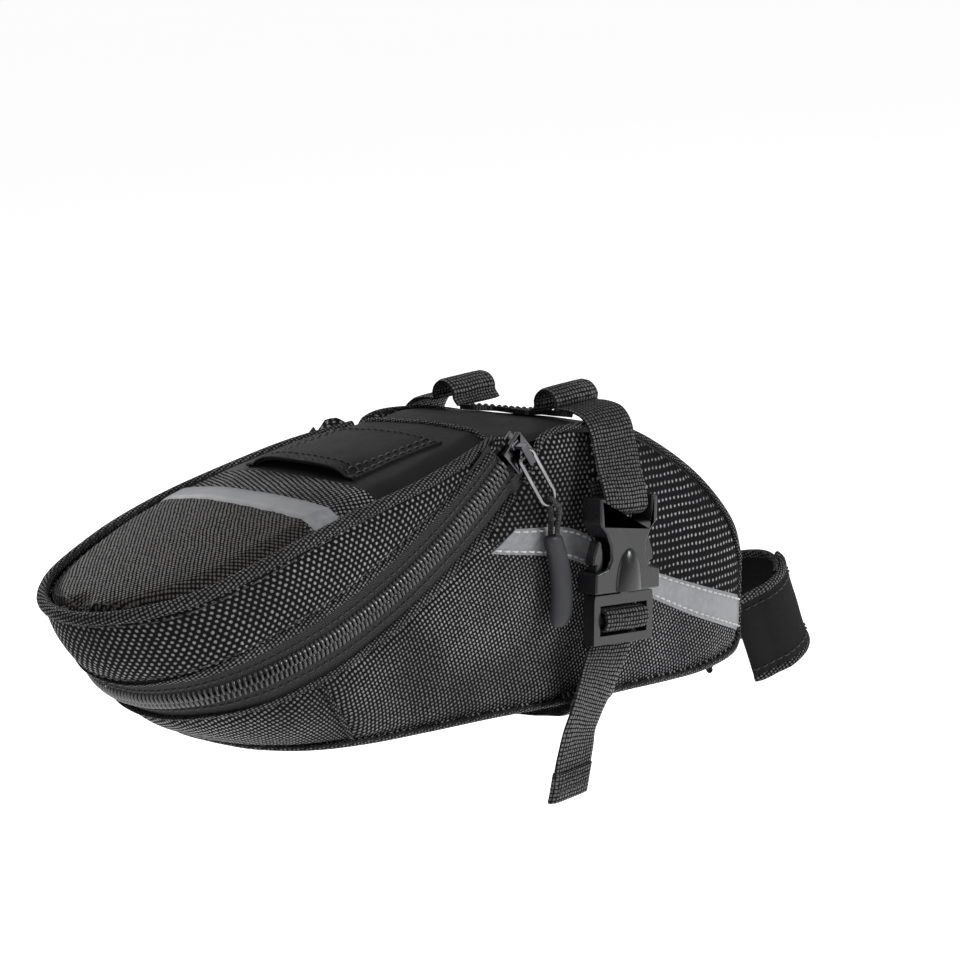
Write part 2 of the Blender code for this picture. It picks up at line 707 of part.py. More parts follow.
def make_side_reflectors(wall):
    """A reflective strip slanting down to the front across each side panel."""
    skin = wall.rows(side_panel_rows(wall), PANEL_SHARES)
    upper = smooth([(-43, 0, -28.0), (-18.4, 0, -34.2), (9.8, 0, -51.6), (41, 0, -65.4), (68.4, 0, -76.2)])
    lower = smooth([(-51, 0, -33.0), (-21.5, 0, -42.5), (7.0, 0, -58.6), (38.6, 0, -75.0), (66.6, 0, -87.2)])
    rows = [[a, b] for a, b in zip(spaced(upper, 15), spaced(lower, 15))]
    strip = strip_on("right_side_reflector", rows, skin, (0, 1, 0), GAP, TAPE, GREY_TAPE)
    left_copy(strip, GREY_TAPE)


# ------------------------------------------------------------------ straps and buckles
def webbing(name, path, leans, width=STRAP_WIDTH, thick=STRAP_THICK, twists=None):
    """Webbing along (x, y, z) points; a lean tips its width, a twist turns its front edge inwards."""
    path = np.array(path, float)
    along = np.gradient(path, axis=0)
    rings = []
    for p, way, lean, twist in zip(path, along, leans, twists or [0.0] * len(path)):
        flat = math.cos(twist)
        sideways = np.array([math.cos(lean) * flat, math.sin(twist), -math.sin(lean) * flat])
        n = unit(np.cross(way, sideways)) * thick / 2
        s = sideways * width / 2
        rings.append([p - s + n, p + s + n, p + s - n, p - s - n])
    return loft(name, rings, BLACK_WEBBING)


def buckle_x(z):
    """Where the middle of a strap lies, at a height beside the leaning buckle."""
    return BUCKLE_AT.x + (z - BUCKLE_AT.z) * math.tan(BUCKLE_LEAN)


def beside_buckle(y, v):
    """A point on the buckle's middle line, v above its centre, at a distance y out."""
    z = BUCKLE_AT.z + v * math.cos(BUCKLE_LEAN)
    return (buckle_x(z), y, z)


def make_upper_webbing():
    """From the anchor, over the rail, down the outside and round the buckle's bar."""
    turn = RAIL_RADIUS + 0.4 + STRAP_THICK / 2
    path = [(-15.6, -2.6)]
    for step in range(10):
        a = math.radians(-8 + 200 * step / 9)
        path.append((-RAIL_Y + turn * math.cos(a), turn * math.sin(a)))
    path += [(-31.5, -1.2), (-36.4, -2.4), (-40.0, -6.2), (-42.2, -12.0), (-44.6, -18.0), (-47.6, -23.5)]
    points = []
    leans = []
    for y, z in path:
        share = min(1.0, max(0.0, -z / 22.0))
        points.append((STRAP_X + share * (buckle_x(z) - STRAP_X), y, z))
        leans.append(share * BUCKLE_LEAN)
    turn = [(BUCKLE_AT.y + 2.6 * math.cos(a), 18.7 + 2.9 * math.sin(a)) for a in
            np.linspace(math.pi, 2 * math.pi, 7)]
    turn += [(-43.2, 21.3), (-41.6, 25.1)]
    points += [beside_buckle(y, v) for y, v in turn]
    leans += [BUCKLE_LEAN] * len(turn)
    strap = webbing("right_upper_webbing", points, leans)
    left_copy(strap, BLACK_WEBBING)


def make_anchor():
    """The sewn middle of the strap, lying across the top panel between the rails."""
    rows = body_top_rows()
    low, high = [], []
    for y in np.linspace(-14.6, 14.6, 5):
        line = [(STRAP_X + u * STRAP_WIDTH, y, 0.0) for u in (-0.5, -0.17, 0.17, 0.5)]
        low.append(drape(rows, line, (0, 0, -1), 2 * GAP))
        high.append(drape(rows, line, (0, 0, -1), 2 * GAP + STRAP_THICK))
    shell("strap_anchor", low, high, BLACK_WEBBING)


def buckle_frame():
    """u across the buckle, v up it, w outward."""
    upward = Vector((math.sin(BUCKLE_LEAN), 0.0, math.cos(BUCKLE_LEAN)))
    return side_frame(BUCKLE_AT, upward)


def both_sides(outline):
    """A closed outline from its right half, listed from the top down."""
    return outline + [(-u, v) for u, v in outline[::-1]]


def make_buckles():
    place = buckle_frame()
    half = BUCKLE_THICK / 2
    outline = [(12.0, 21.0), (12.0, 13.5), (9.2, 10.5), (7.4, 7.0), (7.2, 3.0), (8.6, 0.4), (13.4, -0.8),
               (13.6, -6.8)]
    female = prism("right_buckle_female", both_sides(outline), -half, half, place, ACETAL)
    box_cutter(female, (-9.7, 13.4, -9), (9.7, 17.4, 9), place)
    box_cutter(female, (-9.7, 17.0, 1.2), (9.7, 22.0, 9), place)
    box_cutter(female, (-9.7, 17.0, -9), (9.7, 22.0, -1.2), place)
    box_cutter(female, (-11.9, -9.0, -2.6), (11.9, 9.4, 2.6), place)
    left_copy(female, ACETAL)
    half = FRAME_THICK / 2
    outline = [(1.6, 6.0), (1.6, -7.4), (12.0, -7.4), (12.4, -9.0), (12.4, -22.0)]
    frame = prism("right_buckle_male", both_sides(outline), -half, half, place, ACETAL)
    box_cutter(frame, (-9.8, -13.6, -9), (9.8, -10.6, 9), place)
    box_cutter(frame, (-9.8, -19.4, -9), (9.8, -16.0, 9), place)
    left_copy(frame, ACETAL)
    prong = [(8.6, -7.0), (11.2, -7.0), (11.2, 1.2), (12.6, 1.4), (12.4, 4.0), (10.6, 8.4), (9.4, 8.4),
             (8.6, 5.0)]
    for end, sign in (("front", 1.0), ("rear", -1.0)):
        outline = [(sign * u, v) for u, v in prong]
        half = PRONG_THICK / 2
        arm = prism(f"right_{end}_prong", outline, -half, half, place, ACETAL)
        left_copy(arm, ACETAL)


def make_lower_webbing():
    """The wraps through the ladders, the free tails and the belly strap."""
    wrap = [(-41.2, -23.4), (-41.2, -18.0), (-41.2, -14.2), (-41.7, -12.7), (-43.2, -12.1), (-47.6, -12.1),
            (-49.1, -12.7), (-49.6, -14.2), (-49.6, -15.6), (-49.1, -17.1), (-47.6, -17.7), (-44.6, -17.7),
            (-43.4, -18.3), (-42.95, -19.6), (-42.95, -22.3)]
    points = [beside_buckle(y, v) for y, v in wrap]
    strap = webbing("right_ladder_webbing", points, [BUCKLE_LEAN] * len(points))
    left_copy(strap, BLACK_WEBBING)
    make_tail("right", -1, len(TAIL_POINTS))
    make_tail("left", 1, len(TAIL_POINTS) - 1)
    make_belly_strap()


def make_tail(side, sign, count):
    """The free end of the webbing, with its end folded and sewn. The left one is a little shorter."""
    points = [beside_buckle(sign * WEB_MIDDLE, TAIL_HINGE - GAP)]
    points += [(x, -sign * y, z) for x, y, z in TAIL_POINTS[:count]]
    leans = TAIL_LEANS[:count + 1]
    twists = [-sign * twist for twist in TAIL_TWISTS[:count + 1]]
    webbing(f"{side}_strap_tail", points, leans, twists=twists)
    last = np.array(points[-1])
    way = unit(last - np.array(points[-2]))
    block = [last + way * reach for reach in (GAP, TAIL_FOLD / 2, TAIL_FOLD)]
    webbing(f"{side}_tail_end", block, [leans[-1]] * 3, thick=3.0, twists=[twists[-1]] * 3)


def make_belly_strap():
    """The standing strap under the bag, from one side to the other."""
    half = [(36.9, -82.8), (36.2, -85.6), (34.6, -88.2), (31.5, -89.8), (26.0, -90.6), (14.0, -92.2),
            (0.0, -92.8)]
    ring = [(-y, z) for y, z in half] + [(y, z) for y, z in half[-2::-1]]
    x = buckle_x(half[0][1])
    webbing("belly_strap", [(x, y, z) for y, z in ring], [0.0] * len(ring))


# ------------------------------------------------------------------ seat-post strap
def post_frame():
    """u to the right of the post, v up along it, w rearwards towards the bag."""
    up = Vector((-math.sin(POST_LEAN), 0.0, math.cos(POST_LEAN)))
    right_hand = Vector((0.0, -1.0, 0.0))
    rear = right_hand.cross(up)
    return Matrix.Translation(POST_POINT) @ Matrix((right_hand, up, rear)).transposed().to_4x4()


def post_strap_radius(angle):
    """Inner face of the strap: round the post, standing off it towards the pad."""
    share = min(1.0, max(0.0, (abs(angle) - POST_STAND_OFF) / (POST_STRAP_ROOT - POST_STAND_OFF)))
    return POST_RADIUS + POST_CLEARANCE + POST_SPREAD * share * share * (3 - 2 * share)


def post_arc(name, first, last, lift):
    """A band round the post between two angles; lift(angle) raises it off the inner layer."""
    place = post_frame()
    rings = []
    for angle in np.linspace(first, last, 18):
        a = math.radians(angle)
        near = post_strap_radius(angle) + lift(angle)
        far = near + POST_STRAP_THICK
        ring = []
        low, high = POST_STRAP_LOW, POST_STRAP_HIGH
        for r, v in ((near, low), (far, low), (far, high), (near, high)):
            ring.append(place @ Vector((r * math.sin(a), v, -r * math.cos(a))))
        rings.append(ring)
    return loft(name, rings, BLACK_WEBBING)


def make_post_strap():
    """The strap's two halves, and the pad between the slanting post and the upright nose."""
    post_arc("post_strap", -POST_STRAP_ROOT, POST_STRAP_END, lambda angle: 0.0)
    step = POST_STRAP_THICK + POST_CLEARANCE

    def over(angle):
        return step * min(1.0, max(0.0, (POST_STRAP_ROOT - angle) / POST_FLAP_RAMP))

    post_arc("post_strap_flap", POST_STRAP_ROOT, POST_FLAP_END, over)
    outline = []
    for z in (PAD_TOP, PAD_FOOT):
        face = POST_POINT.x - (z - POST_POINT.z) * math.tan(POST_LEAN)
        face -= (POST_RADIUS + PAD_CLEARANCE) / math.cos(POST_LEAN)
        nose = np.interp(z, [SIDE_BOTTOM[0][2], SIDE_TOP[0][2]], [SIDE_BOTTOM[0][0], SIDE_TOP[0][0]])
        outline += [(face, z), (nose + GAP, z)][::1 if z == PAD_TOP else -1]
    prism("post_pad", outline, -PAD_HALF, PAD_HALF, side_frame(Vector(), Vector((0.0, 0.0, 1.0))), RUBBER)


# ------------------------------------------------------------------ joints
def put_on_pivot(name, point, children):
    """Parent the pieces of one moving body to an empty on its joint's axis."""
    pivot = bpy.data.objects.new(name, None)
    bpy.data.collections[COLLECTION].objects.link(pivot)
    pivot.location = Vector(point) * MM
    bpy.context.view_layer.update()
    for child in children:
        item = bpy.data.objects[child]
        item.parent = pivot
        item.matrix_parent_inverse = pivot.matrix_world.inverted()


def add_pivots():
    bail = slider_point() + Vector((0.0, -BAIL_OUT, 0.0))
    lid = ["lid_top_panel", "lid_gusset", "lid_piping", "lid_reflector", "lid_stiffener", "lid_lining",
           "light_loop", "zipper_lid_tape", "zipper_lid_coil"]
    put_on_pivot("lid_pivot", (FOLD_X, 0.0, -2.4), lid)
    put_on_pivot("slider_pivot", ZIP_CENTRE, ["zipper_slider"])
    put_on_pivot("bail_pivot", bail, ["pull_bail"])
    put_on_pivot("pull_pivot", bail + BAIL_WAY * BAIL_LENGTH, ["pull_cord", "pull_grip"])
    for side, mirror in (("right", 1.0), ("left", -1.0)):
        male = [f"{side}_{piece}" for piece in ("buckle_male", "front_prong", "rear_prong", "ladder_webbing")]
        put_on_pivot(f"{side}_buckle_pivot", (BUCKLE_AT.x, mirror * BUCKLE_AT.y, BUCKLE_AT.z), male)
        x, y, z = beside_buckle(mirror * -42.95, TAIL_HINGE)
        put_on_pivot(f"{side}_tail_pivot", (x, y, z), [f"{side}_strap_tail", f"{side}_tail_end"])
    root = math.radians(POST_STRAP_ROOT)
    reach = post_strap_radius(POST_STRAP_ROOT) + POST_STRAP_THICK
    peel = post_frame() @ Vector((reach * math.sin(root), 0.0, -reach * math.cos(root)))
    put_on_pivot("post_flap_pivot", peel, ["post_strap_flap"])


# ------------------------------------------------------------------ the whole bag
def build():
    clear_scene()
    wall = Wall()
    make_body_panels(wall)
    make_body_lining(wall)
    make_base_board(wall)
    make_side_reflectors(wall)
    make_lid()
    make_zipper()
    make_slider()
    make_pull()
    make_anchor()
    make_upper_webbing()
    make_buckles()
    make_lower_webbing()
    make_post_strap()
    add_pivots()


build()
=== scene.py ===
"""Looks of the saddle bag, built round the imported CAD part.

Lengths in the builders are millimetres in the part's own frame (+X forward, +Y left, +Z up);
meshes are scaled to metres when they are made.
"""
import math

import bmesh
import bpy
import numpy as np
from mathutils import Matrix, Vector, noise
from mathutils.bvhtree import BVHTree


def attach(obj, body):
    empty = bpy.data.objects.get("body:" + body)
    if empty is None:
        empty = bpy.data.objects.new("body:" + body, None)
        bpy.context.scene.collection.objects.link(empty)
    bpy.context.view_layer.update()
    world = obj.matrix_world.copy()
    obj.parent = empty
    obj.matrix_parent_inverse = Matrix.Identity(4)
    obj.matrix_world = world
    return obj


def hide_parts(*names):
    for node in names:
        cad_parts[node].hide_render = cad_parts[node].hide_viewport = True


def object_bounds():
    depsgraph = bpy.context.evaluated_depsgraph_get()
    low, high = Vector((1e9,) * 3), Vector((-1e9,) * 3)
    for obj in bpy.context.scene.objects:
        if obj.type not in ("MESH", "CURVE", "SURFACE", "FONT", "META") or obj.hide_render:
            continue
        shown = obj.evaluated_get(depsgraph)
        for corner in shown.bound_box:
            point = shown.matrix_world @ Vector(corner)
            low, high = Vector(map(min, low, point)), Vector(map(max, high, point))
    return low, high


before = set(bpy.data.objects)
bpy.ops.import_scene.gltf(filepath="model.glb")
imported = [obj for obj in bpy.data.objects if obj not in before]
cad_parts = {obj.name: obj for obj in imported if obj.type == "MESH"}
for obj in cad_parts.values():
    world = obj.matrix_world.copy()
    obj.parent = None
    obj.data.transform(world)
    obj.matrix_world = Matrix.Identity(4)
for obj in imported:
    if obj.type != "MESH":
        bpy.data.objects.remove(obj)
cad_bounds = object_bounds()
MM = 0.001

# Shape of the bag, as the CAD part has it
GAP = 0.3
ZIP_CENTRE = np.array([-168.4, 0.0, 152.3])
ZIP_RADIUS = 203.9
ZIP_SIDE = 38.5
ZIP_TOP = math.radians(-51.3)
ZIP_COIL = math.radians(-52.8)
ZIP_TURN = math.radians(-74.0)
ZIP_REAR = [(-125, 37.4, -46.9), (-138, 34, -50), (-147, 27, -52.4), (-152, 17, -54.2), (-154, 7, -55.3),
            (-154.2, 0, -55.5)]
REAR_NORMAL = np.array([-0.73, 0.0, -0.68]) / math.hypot(0.73, 0.68)
FOLD_X = -40.0
LID_EDGE = [(-40.5, 30.5, -3.8), (-60, 36.5, -6), (-79, 39.3, -8.9), (-105, 39.4, -12.7), (-125, 38.4, -16.8),
            (-141, 35.8, -21.0), (-154, 31.2, -24.4), (-164, 22.6, -26.8), (-170, 11.5, -28.1),
            (-172, 0, -28.5)]
SIDE_TOP = [(72, 20, -65), (65.5, 22.8, -51), (49.5, 26, -34.4), (28.4, 30, -19.7), (7.8, 34, -9.4),
            (-14, 37, -4.4), (-30, 38.4, -5.2)]
SIDE_BOTTOM = [(71, 18, -90.6), (60, 24, -92.6), (42, 28, -92.6), (24, 30.5, -90.8), (5, 32, -88.6),
               (-16, 33, -86.4), (-31, 33.4, -84.7)]
REAR_BOTTOM = [(-36, 33.5, -84.1), (-55, 33.6, -81.8), (-78, 33, -79.6), (-100, 31, -77.6), (-116, 26, -75.8),
               (-127, 17, -73.9), (-131, 7, -72.8), (-131.5, 0, -72.6)]
TOP_CORNER = [(-27, 36.6, -4.8), (-39.6, 35.0, -5.0)]
CROWN = 3.0
DART_AT = 0.60
LID_PANEL_AT = 8.0          # gusset's edge to the zipper's middle
BODY_PANEL_AT = 8.6         # side panel's edge to the zipper's middle
RAIL_Y = 22.0
STRAP_WIDTH = 18.0
STRAP_X = -2.0
BUCKLE_AT = Vector((-9.7, -46.0, -46.5))
BUCKLE_LEAN = math.radians(7.7)
BAIL_WAY = Vector((0.485, 0.0, -0.875)).normalized()
BAIL_OUT = 4.3
BAIL_LENGTH = 18.5
POST_LEAN = math.radians(18.4)
POST_POINT = Vector((95.1, 0.0, -90.0))
POST_INNER = 14.0
POST_ROOT = 145.0
TAIL_HINGE = -22.6
WEB_MIDDLE = 42.95
TAIL_POINTS = [(-15.6, -43.2, -73.2), (-20.6, -43.9, -79.2), (-25.6, -44.4, -85.2), (-29.3, -44.3, -90.8),
               (-31.4, -44.0, -96.2), (-32.7, -43.5, -101.2)]
TAIL_LEANS = [math.radians(turn) for turn in (7.7, 14.0, 23.0, 24.0, 17.0, 8.0, 3.0)]
TAIL_TWISTS = [math.radians(turn) for turn in (0.0, 3.0, 9.0, 14.0, 14.0, 10.0, 8.0)]
STRAP_END = 72.0            # angles round the post at which its strap's halves end
FLAP_END = 24.0
STRAP_LOW = -16.0           # edges of the post's strap along the post
STRAP_HIGH = 13.0
PANEL = 1.3                 # thickness of the cloth panels
WEBBING = 1.4
STAND_OFF = 2.6             # how far the strap stands off the post at its roots
STAND_OFF_AT = 112.0        # angle at which it begins to
FLAP_STEP = 1.9             # the flap's climb on to the inner layer, and the angle it takes
FLAP_RAMP = 42.0
LID_CENTRE = np.array([-100.0, 0.0, 0.0])
LID_TAPE_X = (-104.8, -113.8)
TAPE_THICK = 0.5
TIGHT = math.radians(32)    # edges sharper than this are rounded


# ------------------------------------------------------------------ lines and surfaces
def unit(vector):
    size = np.linalg.norm(vector, axis=-1, keepdims=True)
    return vector / np.where(size < 1e-9, 1.0, size)


def smooth(points, before=None, after=None, steps=24):
    knots = [np.array(p, float) for p in points]
    first = 2 * knots[0] - knots[1] if before is None else np.array(before, float)
    last = 2 * knots[-1] - knots[-2] if after is None else np.array(after, float)
    knots = [first, *knots, last]
    line = [knots[1]]
    for a, b, c, d in zip(knots[:-3], knots[1:-2], knots[2:-1], knots[3:]):
        for step in range(1, steps + 1):
            t = step / steps
            line.append(0.5 * (2 * b + (c - a) * t + (2 * a - 5 * b + 4 * c - d) * t * t
                               + (3 * b - a - 3 * c + d) * t ** 3))
    return np.array(line)


def lengths(line):
    return np.concatenate([[0.0], np.cumsum(np.linalg.norm(np.diff(line, axis=0), axis=1))])


def sampled(where, run, line):
    """The values of a line at some distances along it; run holds its points' own distances."""
    return np.stack([np.interp(where, run, line[:, k]) for k in range(line.shape[1])], axis=-1)


def spaced(line, count, start=0.0, end=1.0):
    run = lengths(line)
    return sampled(np.linspace(start * run[-1], end * run[-1], count), run, line)


def right(points):
    return [(x, -w, z) for x, w, z in points]


def mirrored(points):
    return np.asarray(points) * np.array([1.0, -1.0, 1.0])


def whole(half):
    half = np.asarray(half)
    return np.concatenate([half, mirrored(half[:-1])[::-1]])


def ease(t):
    t = np.clip(t, 0.0, 1.0)
    return t * t * (3 - 2 * t)


def into_bag(points):
    p = np.asarray(points, float)
    x = np.clip(p[..., 0], -158.0, 58.0)
    middle = np.interp(x, [-158, -150, -110, 0, 58], [-40, -42, -46, -48, -74])
    half = np.interp(x, [-158, -150, -110, 0, 58], [4, 12, 22, 22, 10])
    core = np.stack([x, np.clip(p[..., 1], -half, half), middle], axis=-1)
    return unit(core - p)


def zipper_arc(angle):
    x, _, z = ZIP_CENTRE
    return (x + ZIP_RADIUS * math.cos(angle), -ZIP_SIDE, z + ZIP_RADIUS * math.sin(angle))


def zipper_line(first):
    arc = [zipper_arc(a) for a in np.linspace(first, ZIP_TURN, 60)]
    rear = right(ZIP_REAR)
    turn = smooth([arc[-1], *rear], before=zipper_arc(ZIP_TURN + math.radians(4)), after=mirrored(rear[-2]))
    return np.vstack([arc, turn[1:]])


def zipper_frames(first, count):
    """Points on the right half of the zipper, with the ways along it, across it and out of it."""
    line = zipper_line(first)
    points = spaced(line, count)
    along = unit(np.gradient(spaced(line, 4 * (count - 1) + 1), axis=0))[::4]
    along[-1] = (0.0, 1.0, 0.0)
    plan = np.arctan2(along[:, 1], -along[:, 0])[:, None]
    out = np.cos(plan) * np.array([0.0, -1.0, 0.0]) + np.sin(plan) * REAR_NORMAL
    out = unit(out - (out * along).sum(axis=1)[:, None] * along)
    across = np.cross(out, along)
    across *= np.where(across[:, 2:3] > 0, -1.0, 1.0)
    return points, along, across, out


class Wall:
    """The upright wall of the body, from the middle of the nose round to the rear centre."""

    def __init__(self, panel_at):
        points, _, across, _ = zipper_frames(ZIP_TOP, 60)
        zip_edge = points + panel_at * across
        zip_edge[-1, 1] = 0.0
        start = next(i for i, p in enumerate(zip_edge) if p[0] < SIDE_TOP[-1][0] - 6)
        top_line = smooth(right(SIDE_TOP), after=zip_edge[start + 1])
        top = np.vstack([top_line, zip_edge[start:]])
        join = len(top_line)
        bottom_front = spaced(smooth(right(SIDE_BOTTOM)), join)
        rear = right(REAR_BOTTOM)
        bottom_rear = spaced(smooth(rear, after=mirrored(rear[-2])), len(top) - join)
        bottom = np.vstack([bottom_front, bottom_rear])
        nose = np.linspace(0.0, 1.0, 12)[:-1, None]
        flat = np.array([1.0, 0.0, 1.0])
        self.top = np.vstack([top[0] * flat + nose * (top[0] - top[0] * flat), top])
        self.bottom = np.vstack([bottom[0] * flat + nose * (bottom[0] - bottom[0] * flat), bottom])
        middle = (self.top + self.bottom) / 2
        self.run = lengths(middle)
        self.corner = self.run[11]
        fold = float(np.interp(-FOLD_X, -middle[11:, 0], self.run[11:]))
        self.end = self.run[-1]
        self.dart = fold + DART_AT * (self.end - fold)
        along = np.gradient(middle, axis=0)
        along[-1] = (0.0, 1.0, 0.0)
        out = np.cross(unit(along), unit(self.bottom - self.top))
        out[:11] = (1.0, 0.0, 0.0)
        out *= np.where((out * into_bag(middle)).sum(axis=1)[:, None] > 0, -1.0, 1.0)
        self.out = unit(out)
        self.bulge = np.interp(self.run, [0, self.corner, self.corner + 25, self.end - 60, self.end],
                               [0.0, 0.0, 2.6, 2.6, 1.5])

    def grid(self, start, end, rows, columns, first=0.0, last=1.0):
        where = np.linspace(start, end, rows)
        shares = np.linspace(first, last, columns)[None, :, None]
        top, bottom, out = [sampled(where, self.run, part)[:, None, :]
                            for part in (self.top, self.bottom, self.out)]
        bulge = np.interp(where, self.run, self.bulge)[:, None, None]
        return top + shares * (bottom - top) + 4 * shares * (1 - shares) * bulge * unit(out)


def lid_edge_line():
    edge = right(LID_EDGE)
    return smooth(edge, after=mirrored(edge[-2]))


def lid_top_grid(inset, rows, columns):
    line = lid_edge_line()
    edge = spaced(line, rows)
    along = unit(np.gradient(spaced(line, 4 * (rows - 1) + 1), axis=0))[::4]
    along[-1] = (0.0, -1.0, 0.0)
    aside = unit(np.stack([along[:, 1], -along[:, 0], 0 * along[:, 0]], axis=1))
    aside[-1] = (1.0, 0.0, 0.0)
    grid = []
    for (x, y, z), (ix, iy, _) in zip(edge, aside):
        x, half = x + inset * ix, max(-(y + inset * iy), 0.0)
        q = np.linspace(-1.0, 1.0, columns)
        rise = np.interp(-x, [-FOLD_X, 75.0], [1.2, CROWN]) * (1 - q * q) * min(1.0, half / 30.0)
        grid.append(np.stack([np.full(columns, x), q * half, z + rise], axis=1))
    grid = np.array(grid)
    grid[-1] = [grid[-1, 0, 0], 0.0, grid[-1, 0, 2]]
    return grid


def gusset_grid(start, end, rows, columns):
    edge = spaced(lid_edge_line(), rows)
    points, _, across, _ = zipper_frames(ZIP_TOP, rows)
    slider = np.interp(np.linspace(0, 19, rows), [0, 3], [1.0, 0.0])[:, None]
    room = np.interp(np.linspace(0, 19, rows), [0, 5], [5.8, end])[:, None]
    lower = points - (room + slider) * across
    lower[-1, 1] = 0.0
    lower[0, 0] = min(lower[0, 0], FOLD_X - 0.6)
    along = unit(np.gradient(edge, axis=0))
    along[-1] = (0.0, 1.0, 0.0)
    grid = []
    for a, b, way in zip(edge, lower, along):
        fall = b - a
        length = np.linalg.norm(fall)
        square = np.linalg.norm(fall - (fall @ way) * way)
        shares = np.linspace(min(start / square, 0.4), 1.0, columns)[:, None]
        bulge = 2.6 * min(1.0, length / 25.0)
        p = a + shares * fall
        grid.append(p - 4 * shares * (1 - shares) * bulge * into_bag(p))
    return whole(np.array(grid))


def body_top_grid(rows, columns):
    edge = smooth(right(SIDE_TOP[:6] + TOP_CORNER))
    grid = []
    for x, y, z in spaced(edge, rows, 0.003, 1.0):
        q = np.linspace(-1.0, 1.0, columns)
        crown = np.interp(x, [FOLD_X, -15.0, 20.0, 72.0], [2.4, 1.2, 1.2, 0.4]) * (1 - q * q)
        grid.append(np.stack([np.full(columns, x), q * (-y - 0.4), z + crown], axis=1))
    return np.array(grid)


def belly_grid(wall, rows, columns):
    edge = wall.grid(wall.corner, wall.end, rows, 2)[:, 1]
    q = np.linspace(-1.0, 1.0, columns)[None, :]
    half = np.maximum(-edge[:, 1:2] - GAP, 0.0)
    sag = 3.0 * (1 - q * q) * np.minimum(1.0, half / 30.0)
    return np.stack([edge[:, :1] + 0 * q, q * half, edge[:, 2:] - sag], axis=2)


def normals_of(grid, outward):
    """Unit normals of a grid of points, turned to the side that outward gives."""
    n = np.cross(np.gradient(grid, axis=0), np.gradient(grid, axis=1))
    n = unit(n)
    weak = np.linalg.norm(n, axis=-1, keepdims=True) < 0.5
    guide = np.broadcast_to(unit(np.asarray(outward, float)), grid.shape)
    n = np.where(weak, guide, n)
    return n * np.where((n * guide).sum(axis=-1, keepdims=True) < 0, -1.0, 1.0)


def rumple(grid, size, height, seed):
    """Soft unevenness of cloth: smooth noise over a grid of points."""
    flat = grid.reshape(-1, 3) / size
    value = [noise.noise(Vector(p) + Vector((seed, 0.7 * seed, 0.0))) for p in flat]
    return height * np.array(value).reshape(grid.shape[:2])[..., None]


def border_distance(grid, sides):
    """Distance in the surface from the borders named: s and e along the rows, l and r across."""
    rows = np.concatenate([np.zeros((1, grid.shape[1])),
                           np.cumsum(np.linalg.norm(np.diff(grid, axis=0), axis=2), axis=0)])
    columns = np.concatenate([np.zeros((grid.shape[0], 1)),
                              np.cumsum(np.linalg.norm(np.diff(grid, axis=1), axis=2), axis=1)], axis=1)
    found = {"s": rows, "e": rows[-1:] - rows, "l": columns, "r": columns[:, -1:] - columns}
    return np.minimum.reduce([found[side] for side in sides])[..., None]


# ------------------------------------------------------------------ meshes and pieces
def finish_mesh(name, verts, faces, uvs, materials, face_materials=None):
    mesh = bpy.data.meshes.new(name)
    mesh.from_pydata([tuple(v) for v in np.asarray(verts, float) * MM], [], faces)
    if uvs is not None:
        layer = mesh.uv_layers.new(name="weave")
        loops = np.zeros(len(mesh.loops), int)
        mesh.loops.foreach_get("vertex_index", loops)
        layer.data.foreach_set("uv", np.asarray(uvs, np.float32)[loops].ravel())
    for made in materials:
        mesh.materials.append(made)
    if face_materials is not None:
        mesh.polygons.foreach_set("material_index", face_materials)
    work = bmesh.new()
    work.from_mesh(mesh)
    bmesh.ops.remove_doubles(work, verts=work.verts, dist=0.000004)
    bmesh.ops.dissolve_degenerate(work, dist=0.000001, edges=work.edges)
    bmesh.ops.recalc_face_normals(work, faces=work.faces)
    work.to_mesh(mesh)
    work.free()
    mesh.shade_smooth()
    mesh.set_sharp_from_angle(angle=math.radians(50))
    item = bpy.data.objects.new(name, mesh)
    bpy.context.scene.collection.objects.link(item)
    return item


def sheet_mesh(name, grid, uv, thick, outward, materials, pick=None):
    """A closed sheet: the grid is its outer face, and its inner face lies thick below."""
    rows, columns = grid.shape[:2]
    n = normals_of(grid, outward)
    verts = np.concatenate([grid.reshape(-1, 3), (grid - thick * n).reshape(-1, 3)])
    uvs = np.concatenate([uv.reshape(-1, 2)] * 2)
    size = rows * columns
    faces, kinds = [], []
    for r in range(rows - 1):
        for c in range(columns - 1):
            a = r * columns + c
            b = a + columns
            kind = 0 if pick is None else int(pick(grid[r, c]))
            faces += [(a, a + 1, b + 1, b), (a + size, b + size, b + 1 + size, a + 1 + size)]
            kinds += [kind, kind]
    for r in range(rows - 1):
        for c in (0, columns - 1):
            a = r * columns + c
            faces.append((a, a + columns, a + columns + size, a + size))
            kinds.append(0)
    for c in range(columns - 1):
        for r in (0, rows - 1):
            a = r * columns + c
            faces.append((a, a + 1, a + 1 + size, a + size))
            kinds.append(0)
    return finish_mesh(name, verts, faces, uvs, materials, kinds)


def rings_data(rings, cyclic=False, base=0):
    """Faces that join equal rings, with both ends closed unless the rings close on themselves."""
    count, size = len(rings), len(rings[0])
    faces = []
    for r in range(count if cyclic else count - 1):
        near, far = base + r * size, base + ((r + 1) % count) * size
        for j in range(size):
            k = (j + 1) % size
            faces.append((near + j, near + k, far + k, far + j))
    if not cyclic:
        faces.append(tuple(base + j for j in range(size)))
        faces.append(tuple(base + (count - 1) * size + j for j in range(size)))
    return faces


def tube_rings(line, wide, high, up, sides=10, taper=None):
    line = np.asarray(line, float)
    along = unit(np.gradient(line, axis=0))
    up = np.broadcast_to(np.asarray(up, float), line.shape)
    up = unit(up - (up * along).sum(axis=1)[:, None] * along)
    side = np.cross(along, up)
    angles = np.linspace(0, 2 * math.pi, sides, endpoint=False)
    size = np.ones(len(line)) if taper is None else np.asarray(taper)
    return [[p + k * (wide * math.cos(a) * s + high * math.sin(a) * u) for a in angles]
            for p, s, u, k in zip(line, side, up, size)]


